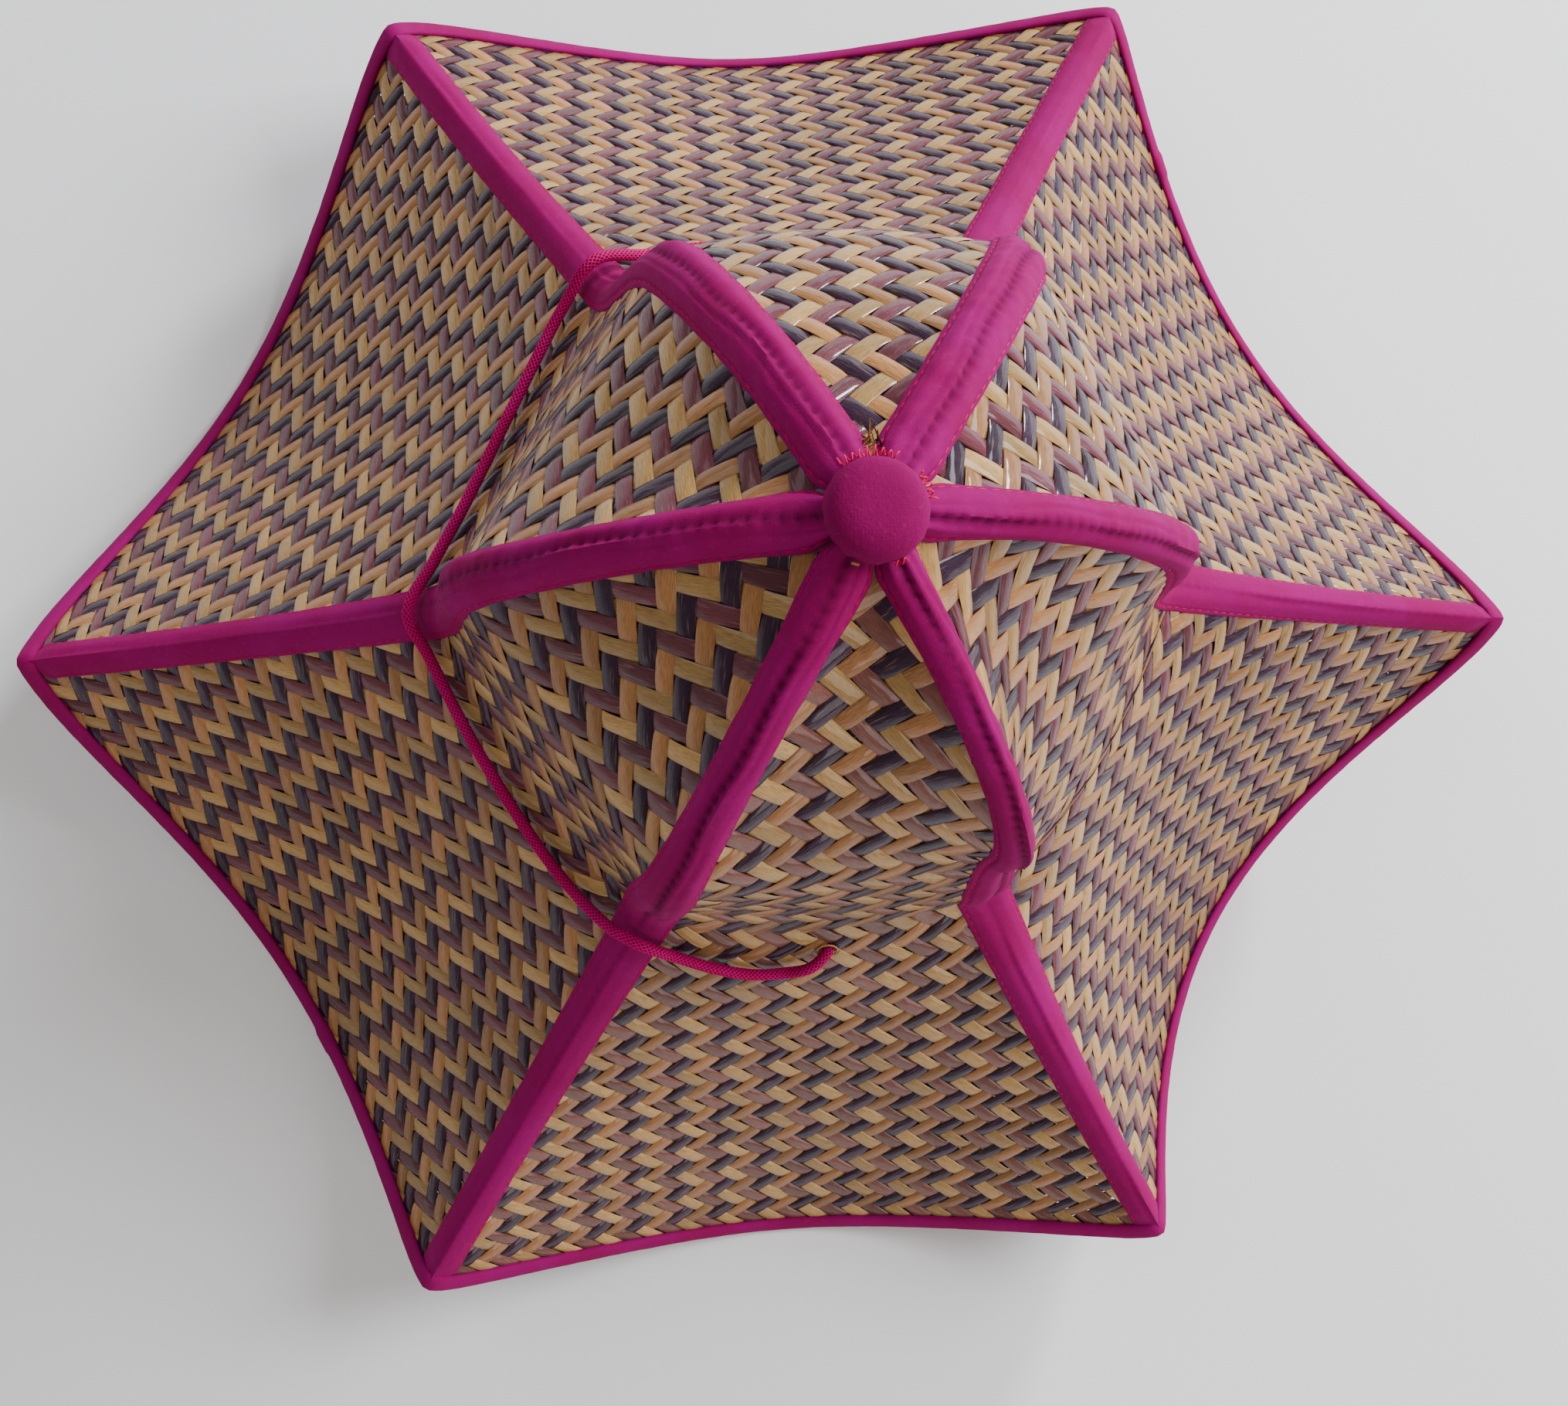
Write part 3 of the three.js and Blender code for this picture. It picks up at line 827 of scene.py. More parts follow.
@dataclass(frozen=True)
class StrawFinish:
    """Dyed and plain strands of split reed, softly varnished; part of the difference between the two sets
    is painted sheen. Colours are linear.
    """

    pale: tuple[float, float, float] = (0.42, 0.262, 0.088)
    warm: tuple[float, float, float] = (0.365, 0.178, 0.060)
    plum: tuple[float, float, float] = (0.122, 0.029, 0.043)
    slate: tuple[float, float, float] = (0.027, 0.006, 0.025)
    gloss: float = 0.26
    coat: float = 0.42
    coat_rough: float = 0.1
    specular: float = 0.1
    relief: float = 0.00022  # metres

    def material(self) -> bpy.types.Material:
        """Colours from the "strand" attribute: red is how pale, green the strand's shade, blue its set,
        whose colour is partly painted sheen.

        Returns:
            The material.
        """
        n, shader, material = new_material("woven_straw")
        strand = n.add("ShaderNodeAttribute", attribute_name="strand")
        part = n.add("ShaderNodeSeparateColor", {0: strand.outputs["Color"]})
        group = n.add("ShaderNodeGroup", node_tree=bpy.data.node_groups["fibres"])
        fibre, blotch, split = (group.outputs[k] for k in ("Fibre", "Blotch", "Split"))
        light = n.mix(part.outputs[2], self.pale, self.warm)
        dark = n.mix(part.outputs[2], self.plum, self.slate)
        colour = n.mix(part.outputs[0], dark, light)
        shade = n.ramp(part.outputs[1], 0.0, 1.0)
        varied = n.mix(shade, n.times(colour, (0.86, 0.82, 0.8)), n.times(colour, (1.38, 1.3, 1.3)))
        streak = n.math("MULTIPLY", n.ramp(fibre, 0.36, 0.66), 0.6)
        streaked = n.mix(streak, varied, n.times(varied, (0.5, 0.42, 0.38)))
        crack = n.math("MULTIPLY", n.ramp(split, 0.56, 0.74), 0.4)
        cracked = n.mix(crack, streaked, n.mix(0.6, varied, (0.42, 0.3, 0.22)))
        stain = n.math("MULTIPLY", n.ramp(blotch, 0.5, 0.78), 0.4)
        stained = n.mix(stain, cracked, n.times(cracked, (0.74, 0.6, 0.56)))
        material.node_tree.links.new(stained, shader.inputs["Base Color"])
        rough = n.math("MULTIPLY_ADD", fibre, 0.3)
        rough.node.inputs[2].default_value = self.gloss - 0.12
        material.node_tree.links.new(rough, shader.inputs["Roughness"])
        height = n.math("ADD", fibre, split)
        bump = n.add("ShaderNodeBump", {"Height": height, "Strength": 0.9, "Distance": self.relief})
        material.node_tree.links.new(bump.outputs[0], shader.inputs["Normal"])
        shader.inputs["Coat Weight"].default_value = self.coat
        shader.inputs["Coat Roughness"].default_value = self.coat_rough
        shader.inputs["Specular IOR Level"].default_value = self.specular
        return material


@dataclass(frozen=True)
class ClothFinish:
    """Matt dyed cotton. Colours are linear."""

    name: str
    colour: tuple[float, float, float] = (0.245, 0.0, 0.084)
    faded: tuple[float, float, float] = (0.27, 0.0, 0.115)
    threads: float = 2400.0
    relief: float = 0.00012  # metres
    rough: float = 0.82
    specular: float = 0.08
    braided: bool = False

    def material(self) -> bpy.types.Material:
        """Cloth over the cloth_grain group, and the braid group on a cord.

        Returns:
            The material.
        """
        n, shader, material = new_material(self.name)
        group = n.add("ShaderNodeGroup", node_tree=bpy.data.node_groups["cloth_grain"])
        group.inputs["Threads"].default_value = self.threads
        colour = n.mix(n.ramp(group.outputs["Fade"], 0.35, 0.68), self.colour, self.faded)
        fleck = n.math("MULTIPLY", group.outputs["Fleck"], 0.06)
        colour = n.mix(fleck, colour, n.mix(0.5, colour, (0.75, 0.2, 0.4)))
        # Painted shade from the "fold" attribute: darker in the tape's groove, crease and hem lines.
        fold = n.add("ShaderNodeAttribute", attribute_name="fold").outputs["Fac"]
        colour = n.mix(n.math("MULTIPLY", fold, 0.8), colour, n.times(colour, (0.28, 0.2, 0.25)))
        height = group.outputs["Height"]
        if self.braided:
            braid = n.add("ShaderNodeGroup", node_tree=bpy.data.node_groups["braid"])
            # Painted shade in the grooves between the braid's strands.
            depth = n.math("MULTIPLY", braid.outputs["Depth"], 0.9)
            colour = n.mix(depth, colour, n.times(colour, (0.2, 0.1, 0.15)))
            height = n.math("ADD", height, n.math("MULTIPLY", braid.outputs["Height"], 1.2))
        material.node_tree.links.new(colour, shader.inputs["Base Color"])
        bump = n.add("ShaderNodeBump", {"Height": height, "Strength": 0.6, "Distance": self.relief})
        material.node_tree.links.new(bump.outputs[0], shader.inputs["Normal"])
        shader.inputs["Roughness"].default_value = self.rough
        shader.inputs["Specular IOR Level"].default_value = self.specular
        return material


class Lead(Enum):
    """Which set of strands is the pale and plum one; the other is orange and slate. Which set looks paler
    is partly the straw's own colour and partly painted sheen from the strands' direction to the light.
    """

    ALONG = "along"
    ACROSS = "across"


@dataclass
class StrawMat:
    """One panel woven two over, two under, of strands that lie slantwise to its middle line."""

    form: HatForm
    index: int
    material: bpy.types.Material
    hole: np.ndarray | None = None
    lead: Lead = Lead.ALONG
    shift: tuple[float, float] = (0.0, 0.0)
    closeness: float = 0.0  # how far the orange strands are darkened towards slate and the plum ones lightened towards pale
    pitch: float = 4.7
    width: float = 4.42
    spread: float = 0.07  # how much widths differ, as a share
    thick: float = 0.40
    wave: float = 0.35
    depth: float = 0.6
    seam_margin: float = 1.2
    edge_margin: float = 0.3
    hole_radius: float = 2.7
    chart: Chart = field(init=False)
    count: int = field(init=False)  # strands on each side of the middle

    def __post_init__(self) -> None:
        """Lay the panel out flat."""
        self.chart = Chart(self.form, self.index)
        self.count = int(self.chart.y[-1] * 1.5 / self.pitch)

    def stations(self, along: bool, number: int, phases: np.ndarray) -> tuple[np.ndarray, ...]:
        """Places of one strand, three for each strand that it crosses.

        Args:
            along: True for the set that runs along u, False for the other.
            number: the strand's place in its set.
            phases: three angles that set how the strand wanders and tilts.

        Returns:
            Distances along the strand, x, y, height over the mat's middle, and sideways tilt.
        """
        step = np.arange(-3 * self.count, 3 * self.count + 1)
        run = step * self.pitch / 3
        wander = 0.12 * np.sin(run / 23 + phases[0]) + 0.07 * np.sin(run / 7.7 + phases[1])
        across = number * self.pitch + wander
        u, w = (run, across) if along else (across, run)
        x = (u - w) / math.sqrt(2) + self.shift[0]
        y = (u + w) / math.sqrt(2) + self.shift[1]
        over = np.sin(math.pi * (number + step / 3 + 0.5) / 2)  # two over, two under
        height = self.wave * (0.86 * np.clip(1.9 * over, -1, 1) + 0.14 * over)
        tilt = 0.035 * np.sin(run / 3.3 + phases[2]) + 0.02 * np.sin(run / 11 + phases[0])
        return run, x, y, height if along else -height, tilt

    def build(self) -> None:
        """Weave the panel and dress it."""
        rng = np.random.default_rng(40 + self.index)
        outline = np.array(STRAND_OUTLINE)
        sides = len(outline)
        rise = outline[:, 1] * self.thick
        points, quads, caps, uvs, tones = [], [], [], [], []
        total = 0
        for along in (True, False):
            for number in range(-self.count, self.count + 1):
                shade, offset, broad, *phases = rng.uniform(0, 1, 6) * [1, 4000, 2, 6.3, 6.3, 6.3]
                across = outline[:, 0] * self.width * (1 + self.spread * (broad - 1))
                run, x, y, height, tilt = self.stations(along, number, phases)
                inside = self.chart.inside(x, y, self.seam_margin, self.edge_margin)
                if self.hole is not None and inside.any():
                    row = np.interp(y, self.chart.y, np.arange(len(self.chart.v)))
                    places, _ = self.chart.lift(row, x)
                    inside &= np.linalg.norm(places - self.hole, axis=1) > self.hole_radius
                edges = np.flatnonzero(np.diff(np.concatenate([[0], inside.astype(int), [0]])))
                for start, stop in zip(edges[::2], edges[1::2]):
                    if stop - start < 3:
                        continue
                    part = slice(start, stop)
                    sign = -1 if along else 1
                    sx = x[part, None] + sign * across / math.sqrt(2)
                    sy = y[part, None] + across / math.sqrt(2)
                    row = np.interp(sy, self.chart.y, np.arange(len(self.chart.v)))
                    surface, normal = self.chart.lift(row, sx)
                    level = height[part, None] + tilt[part, None] * across + rise - self.depth
                    ring = surface + normal * level[..., None]
                    count = stop - start
                    points.append(ring.reshape(-1, 3))
                    quads.append(ring_quads(count, sides, False)[:, ::sign] + total)
                    first, last = total + np.arange(sides), total + (count - 1) * sides + np.arange(sides)
                    if sign < 0:
                        first, last = first[::-1], last[::-1]
                    caps += [first[[0, 3, 4, 5]], first[[0, 1, 2, 3]]]
                    caps += [last[[5, 4, 3, 0]], last[[3, 2, 1, 0]]]
                    uvs.append(pairs(run[part, None] + offset, across))
                    # Painted sheen in part: the set that looks warm changes from panel to panel with the
                    # strands' direction.
                    warm = along != (self.lead is Lead.ALONG)
                    light = abs((number % 2 == 0) - self.closeness * (warm == (number % 2 == 0)))
                    tones.append(np.tile([light, shade, warm, 1.0], (count * sides, 1)))
                    total += count * sides
        name = GORES[self.index].name
        faces = np.concatenate(quads + [np.array(caps)])
        piece = new_mesh("weave_" + name, np.concatenate(points), faces)
        lay_uv(piece, np.concatenate(uvs))
        colour_strands(piece, tones)
        smooth(piece, 50)
        finish_piece(piece, self.material)
        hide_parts("panel_" + name)


@dataclass
class SeamTape:
    """Folded cloth tape over one seam, with its rows of stitches."""

    form: HatForm
    index: int
    charts: tuple[Chart, Chart]
    cloth: bpy.types.Material
    thread: bpy.types.Material
    half: float = 7.4  # along the rows, which meet the seam aslant
    widening: float = 1.0  # more on the crown
    clear: float = 0.12
    thick: float = 1.0
    end: float = 1.6
    step: float = 1.1
    columns: int = 41
    top_row: float = 1.93  # v of its upper end, under the button
    stitch: float = 2.0
    stitch_gap: float = 1.3

    def rows(self) -> np.ndarray:
        """Values of v at equal steps down the seam, from under the button to the tip's binding.

        Returns:
            One v for each row of the tape.
        """
        seam = SEAMS[self.index]
        v = np.linspace(self.top_row, -1, 600)
        line = self.form.seam(seam, v)
        far = np.concatenate([[0], np.cumsum(np.linalg.norm(np.diff(line, axis=0), axis=1))])
        count = int((far[-1] - self.end - seam.rounding) / self.step)
        return np.interp(np.arange(count + 1) * self.step, far, v)

    def sheet_point(self, v: np.ndarray, d: np.ndarray) -> tuple[np.ndarray, np.ndarray]:
        """Places on the straw at a distance from the seam.

        Args:
            v: rows down the seam.
            d: distances across it, negative over the panel before it.

        Returns:
            Points and unit normals.
        """
        v, d = np.broadcast_arrays(v, d)
        before, after = self.charts
        result = []
        for chart, side in ((before, 1), (after, -1)):
            row = chart.row_of(v)
            half = chart.half_length(row, side)
            result.append(chart.lift(row, side * np.maximum(half - np.abs(d), half * 0.02)))
        choose = (d < 0)[..., None]
        return np.where(choose, result[0][0], result[1][0]), np.where(choose, result[0][1], result[1][1])

    def profile(self, d: np.ndarray, along: np.ndarray, crown: np.ndarray) -> tuple[np.ndarray, np.ndarray]:
        """Height of the cloth's top over the straw, and how much painted shade it takes in its folds.

        Args:
            d: distances across, -1 to 1.
            along: distance down the seam in millimetres.
            crown: 1 on the crown, 0 on the brim.

        Returns:
            Heights in millimetres, and shares of painted shade from 0 to 1.
        """
        a = np.abs(d)
        body = (self.thick + 0.45 * crown) * (1 - a**6) ** 0.5
        swell = (0.35 + 0.35 * crown) * np.exp(-((a - 0.42) / 0.24) ** 2)
        wander = 0.05 * np.sin(along / 17 + self.index) + 0.03 * np.sin(along / 5.3 + 2 * self.index)
        pucker = 0.8 + 0.2 * np.sin(along * 2 * math.pi / 3.4)
        groove = 1.3 * np.exp(-np.abs((d - 0.06 - wander) / 0.12) ** 1.6) * (0.3 + 0.7 * crown) * pucker
        crease = 0.3 * np.exp(-((d + 0.2 - 1.5 * wander) / 0.045) ** 2) * crown
        hem = (0.2 + 0.35 * crown) / (1 + np.exp((0.78 - a) / 0.02))
        hem = hem + 0.2 * np.exp(-((a - HEM_SHARE) / 0.03) ** 2)
        fold = ripple(along, d * self.half, 60 + self.index) * (0.05 + 0.11 * crown) * (1 - a**4)
        # Painted shade, not relief: darker in the groove, in the crease and along the line of each hem.
        line = np.exp(-((a - 0.83) / 0.035) ** 2)
        painted_fold_shade = np.clip(groove / 1.3 * 1.1 + 0.9 * crease + 0.45 * line * (0.5 + 0.5 * crown), 0, 1) ** 1.3
        return body + swell - groove - crease - hem + fold, painted_fold_shade

    def build(self) -> None:
        """Make the tape and its stitches."""
        name = SEAMS[self.index].name
        v = self.rows()
        turn = np.linspace(-math.pi / 2, math.pi / 2, self.columns)
        k = np.sin(turn) * 0.5 + np.linspace(-1, 1, self.columns) * 0.5
        along = np.arange(len(v)) * self.step
        crown = np.clip(v * 3, 0, 1)
        limit = np.minimum(*(c.half_length(c.row_of(v), side) for c, side in zip(self.charts, (1, -1))))
        widths = np.minimum(limit, self.half + self.widening * crown)
        waver = 1 + 0.018 * ripple(along, 0 * along, 90 + self.index)
        d = k[None] * (widths * waver)[:, None]
        surface, normal = self.sheet_point(v[:, None], d)
        for _ in range(10):
            normal[:, 1:-1] = (normal[:, :-2] + 2 * normal[:, 1:-1] + normal[:, 2:]) / 4
        normal /= np.linalg.norm(normal, axis=-1, keepdims=True)
        for _ in range(4):
            normal[1:-1] = (normal[:-2] + 2 * normal[1:-1] + normal[2:]) / 4
            surface[1:-1] = (surface[:-2] + 2 * surface[1:-1] + surface[2:]) / 4
        flat = np.clip((along[-1] - along) / 5 - 0.2, 0.12, 1) ** 0.7
        height, painted_fold_shade = self.profile(k[None], along[:, None], crown[:, None])
        height = height * flat[:, None]
        layer = 0.12 * (self.index % 3) * np.clip((v - 1.5) / 0.3, 0, 1)[:, None]
        top = surface + normal * (self.clear + layer + height)[..., None]
        under = surface[:, ::-4] + normal[:, ::-4] * self.clear
        rings = np.concatenate([top, under], axis=1)
        sides = rings.shape[1]
        quads = ring_quads(len(v), sides, False)
        caps = [list(range(sides)), list(range((len(v) - 1) * sides, len(v) * sides))]
        points = rings.reshape(-1, 3)
        piece = new_mesh("tape_" + name + "_cloth", points, quads.tolist() + caps)
        # The "fold" attribute carries the painted shade of the groove, the crease and the hem lines.
        shades = np.concatenate([painted_fold_shade, np.zeros((len(v), under.shape[1]))], axis=1).ravel()
        fold = piece.data.attributes.new("fold", "FLOAT", "POINT")
        fold.data.foreach_set("value", shades.astype(np.float32))
        face_out(piece)
        smooth(piece, 60)
        finish_piece(piece, self.cloth)
        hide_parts("tape_" + name)
        self.stitches(top, k, along)

    def stitches(self, top: np.ndarray, k: np.ndarray, along: np.ndarray) -> None:
        """Rows of small stitches along both hems.

        Args:
            top: grid of the cloth's top.
            k: shares across of its columns.
            along: distances down the seam of its rows.
        """
        name = SEAMS[self.index].name
        bpy.ops.object.select_all(action="DESELECT")
        bpy.ops.mesh.primitive_uv_sphere_add(segments=6, ring_count=6, radius=0.5, location=(0, 0, 0))
        model = bpy.context.active_object
        shape = np.array([v.co[:] for v in model.data.vertices])
        faces = [list(p.vertices) for p in model.data.polygons]
        bpy.data.objects.remove(model)
        points, all_faces = [], []
        for share in (-HEM_SHARE, HEM_SHARE):
            column = np.interp(share, k, np.arange(len(k)))
            j = int(column)
            line = top[:, j] * (1 - column + j) + top[:, j + 1] * (column - j)
            beside = top[:, min(j + 2, len(k) - 1)] - top[:, max(j - 2, 0)]
            place = 6.0
            while place < along[-1] - 3:
                a, b = point_at(place, along, line), point_at(place + self.stitch, along, line)
                side = point_at(place, along, beside)
                run = (b - a) / np.linalg.norm(b - a)
                side -= run * side.dot(run)
                side /= np.linalg.norm(side)
                up = np.cross(run, side)
                up *= np.sign(up.dot([*(a[:2] * 0.3), 60.0]))
                body = (a + b) / 2 + shape[:, 2:] * (b - a)
                body += shape[:, :1] * side * 0.34 + shape[:, 1:2] * up * 0.3
                body += up * 0.09 * (1 - (2 * shape[:, 2:]) ** 2)
                all_faces += [[i + len(points) * len(shape) for i in f] for f in faces]
                points.append(body)
                place += self.stitch + self.stitch_gap
        piece = new_mesh("stitches_" + name, np.concatenate(points), all_faces)
        face_out(piece)
        smooth(piece, 80)
        finish_piece(piece, self.thread)


@dataclass
class EdgeBinding:
    """Tape folded round the edge of the brim."""

    form: HatForm
    charts: list[Chart]
    cloth: bpy.types.Material
    reach: float = 4.1
    thick: float = 0.95
    clear: float = 0.45
    straw: float = 1.4
    step: float = 2.0
    overlaps: tuple[float, ...] = (-138.0, 48.0)  # degrees round the hat where an end lies over the start
    overlap: float = 9.0
    sink: float = 0.35  # how far the lips press into the straw

    def edge(self) -> tuple[np.ndarray, np.ndarray]:
        """Points and normals round the edge.

        Returns:
            Points in millimetres at equal steps, and the straw's unit normals there.
        """
        points, normals = [], []
        for index, chart in enumerate(self.charts):
            s = np.linspace(-1, 1, CHART_COLUMNS)[:-1]
            share = self.form.edge_share(index, s)
            row = chart.row_of(-share)
            column = np.interp(s, chart.s, np.arange(len(chart.s)))
            points.append(between(chart.points, row, column))
            normals.append(between(chart.normals, row, column))
        line = np.concatenate([np.concatenate(points), np.concatenate(normals)], axis=1)
        line = evenly(line, self.step / 2, closed=True)
        line = np.concatenate([smoothed(line[:, :3], 3), smoothed(line[:, 3:], 14)], axis=1)
        line = evenly(line, self.step, closed=True)
        return line[:, :3], line[:, 3:] / np.linalg.norm(line[:, 3:], axis=1, keepdims=True)

    def outline(self, thick: float, reach: float) -> np.ndarray:
        """Section of the folded tape.

        Args:
            thick: thickness of the cloth.
            reach: how far it reaches in over the straw.

        Returns:
            Pairs outwards and up from the straw's edge.
        """
        top, low = self.clear * 0.35, -self.straw - self.clear * 0.35
        middle, radius = (top + low) / 2, (top - low) / 2
        turn = np.linspace(math.pi / 2, -math.pi / 2, 9)
        full, back = radius + thick, turn[::-2]
        outer = pairs(0.3 + np.cos(turn) * full * 0.8, middle + np.sin(turn) * full)
        inner = pairs(0.2 + np.cos(back) * radius * 0.6, middle + np.sin(back) * radius)
        upper = np.array([
            [-reach + 0.1, top - self.sink], [-reach - 0.12, top + thick * 0.3],
            [-reach + 0.35, top + thick * 0.92], [-reach * 0.5, top + thick * 1.12],
        ])
        lower = upper[::-1] * [1, -1] + [0, 2 * middle]
        return np.concatenate([upper, outer, lower, inner])

    def build(self) -> None:
        """Make the binding."""
        line, normal = self.edge()
        far = np.arange(len(line)) * self.step
        heading = np.degrees(np.arctan2(line[:, 1], line[:, 0]))
        extra = np.zeros(len(line))
        for angle in self.overlaps:
            start = int(np.argmin(np.abs((heading - angle + 180) % 360 - 180)))
            extra[(start + np.arange(int(self.overlap / self.step))) % len(line)] += 0.45
        waver = ripple(far, 0 * far, 7)
        thick, reach = self.thick + extra + 0.06 * waver, self.reach + extra + 0.16 * waver
        sections = np.array([self.outline(t, r) for t, r in zip(thick, reach)])
        tangent = np.roll(line, -1, axis=0) - np.roll(line, 1, axis=0)
        outward = np.cross(tangent, normal)
        flip = np.sign((outward[:, :2] * line[:, :2]).sum())
        points, quads = sweep(line, sections * [flip, 1], normal, True)
        points[:, 2] = np.maximum(points[:, 2], 0.0)
        piece = new_mesh("edge_binding_cloth", points, quads)
        face_out(piece)
        smooth(piece, 60)
        finish_piece(piece, self.cloth)
        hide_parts("edge_binding")


def thin_strips(
    name: str,
    lines: list[np.ndarray],
    widths: list[np.ndarray],
    ups: list[np.ndarray],
    tones: list[tuple],
    uvs: list[np.ndarray | None],
) -> bpy.types.Object:
    """Joined thin five-sided strips.

    Args:
        name: the piece's name.
        lines: the points of each strip.
        widths: its half width at each point.
        ups: its upward direction at each point.
        tones: its "strand" colour.
        uvs: its UV pairs, or None for the place seen from the front.

    Returns:
        The piece, not yet dressed.
    """
    turn = np.linspace(0, 2 * math.pi, TUBE_SIDES + 1)[:-1]
    points, faces, laid, shades, total = [], [], [], [], 0
    for line, width, up, tone, uv in zip(lines, widths, ups, tones, uvs):
        section = np.stack([np.cos(turn), np.sin(turn)], axis=1)[None] * width[:, None, None]
        ring, quads = sweep(line, section, up, False)
        points.append(ring)
        faces += (quads + total).tolist()
        last = total + len(ring) - 1
        faces += [[total + k for k in range(TUBE_SIDES)], [last - k for k in range(TUBE_SIDES)]]
        laid.append(ring[:, [0, 2]] if uv is None else uv)
        shades.append(np.tile(tone, (len(ring), 1)))
        total += len(ring)
    piece = new_mesh(name, np.concatenate(points), faces)
    face_out(piece)
    lay_uv(piece, np.concatenate(laid))
    colour_strands(piece, shades)
    smooth(piece, 80)
    return piece


@dataclass
class CrownButton:
    """Cloth-covered button over the tapes' ends, with loose thread and a frayed bit of straw by it."""

    form: HatForm
    chart: Chart
    cloth: bpy.types.Material
    thread: bpy.types.Material
    straw: bpy.types.Material
    radius: float = 10.3
    base: float = 225.9  # height of its foot
    frayed: int = 22  # ends of straw in the tuft
    # How far each ring of the dome lies inside the one below, and how much higher.
    rings: tuple[tuple[float, float], ...] = (
        (0.12, 1.5), (0.7, 1.45), (1.3, 1.1), (2.0, 0.75), (2.5, 0.45),
    )
    # From and to which direction each curl of thread runs, in degrees, and its size.
    curls: tuple[tuple[float, float, float], ...] = ((66, 128, 1.0), (8, 38, 0.8), (286, 300, 0.5))

    def centre(self) -> Vector:
        """Middle of the button's foot in metres."""
        return Vector((-self.form.middle[0], -self.form.middle[1], self.base)) * MM

    def build(self) -> None:
        """Make the button, the thread round its foot and the tuft."""
        centre = self.centre()
        bpy.ops.object.select_all(action="DESELECT")
        bpy.ops.mesh.primitive_cylinder_add(
            vertices=48, radius=self.radius * MM, depth=1.4 * MM, location=centre
        )
        piece = bpy.context.active_object
        piece.name = "button_cover"
        bpy.ops.object.mode_set(mode="EDIT")
        bpy.ops.mesh.select_all(action="DESELECT")
        bpy.ops.object.mode_set(mode="OBJECT")
        for polygon in piece.data.polygons:
            polygon.select = polygon.normal.z > 0.9
        bpy.ops.object.mode_set(mode="EDIT")
        bpy.ops.mesh.select_mode(type="FACE")
        for inset, lift in self.rings:
            bpy.ops.mesh.inset(thickness=inset * MM, use_even_offset=True)
            bpy.ops.transform.translate(value=(0, 0, lift * MM))
        bpy.ops.mesh.select_all(action="SELECT")
        bpy.ops.mesh.normals_make_consistent(inside=False)
        bpy.ops.object.mode_set(mode="OBJECT")
        piece.data.transform(piece.matrix_world)
        piece.matrix_world = Matrix.Identity(4)
        rounding = piece.modifiers.new("rounding", "SUBSURF")
        rounding.levels = rounding.render_levels = 2
        bpy.ops.object.modifier_apply(modifier=rounding.name)
        for vertex in piece.data.vertices:
            offset = vertex.co - centre
            angle = math.atan2(offset.y, offset.x)
            rim = math.exp(-((offset.z / MM + 0.2) / 1.1) ** 2)
            pull = 1 + rim * (0.012 * math.sin(19 * angle) + 0.018 * math.sin(11 * angle + 1))
            vertex.co.x, vertex.co.y = centre.x + offset.x * pull, centre.y + offset.y * pull
        smooth(piece, 60)
        finish_piece(piece, self.cloth)
        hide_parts("button")
        self.loose_thread()
        self.tuft()

    @staticmethod
    def strips(name: str, lines: list[np.ndarray], widths: list[np.ndarray]) -> bpy.types.Object:
        """Thin strips of threads or straw, each of its own shade.

        Args:
            name: the piece's name.
            lines: the points of each strip.
            widths: its half width at each point.

        Returns:
            The piece, not yet dressed.
        """
        turn = np.linspace(0, 2 * math.pi, TUBE_SIDES + 1)[:-1]
        ups, tones, uvs = [], [], []
        for number, line in enumerate(lines):
            up = np.cross(np.gradient(line, axis=0), [0.31, 0.52, 0.79])
            ups.append(up / np.linalg.norm(up, axis=1, keepdims=True))
            tones.append((number % 4 > 0, number * 0.37 % 1, number % 3 == 0, 1.0))
            uvs.append(pairs(np.arange(len(line))[:, None] * 0.6, turn[None] * 0.4))
        return thin_strips(name, lines, widths, ups, tones, uvs)

    def loose_thread(self) -> None:
        """Red thread that curls round parts of the button's rim."""
        centre = np.array(self.centre()) / MM
        lines = []
        for start, stop, size in self.curls:
            share = np.linspace(0, 1, int((stop - start) * 3.2))
            angle = np.radians(start + (stop - start) * share)
            turn = share * (stop - start) / 7.5 * 2 * math.pi
            swing = 1 + 0.35 * np.sin(share * 11 + start)
            out = self.radius + 0.2 + size * (0.55 + 0.85 * swing * np.cos(turn))
            rise = 0.7 + size * (0.6 + 0.75 * swing * np.sin(turn + 0.4 * np.sin(share * 7)))
            lines.append(centre + np.stack([np.cos(angle) * out, np.sin(angle) * out, rise], axis=1))
        piece = self.strips("button_thread", lines, [np.full(len(line), 0.2) for line in lines])
        finish_piece(piece, self.thread)

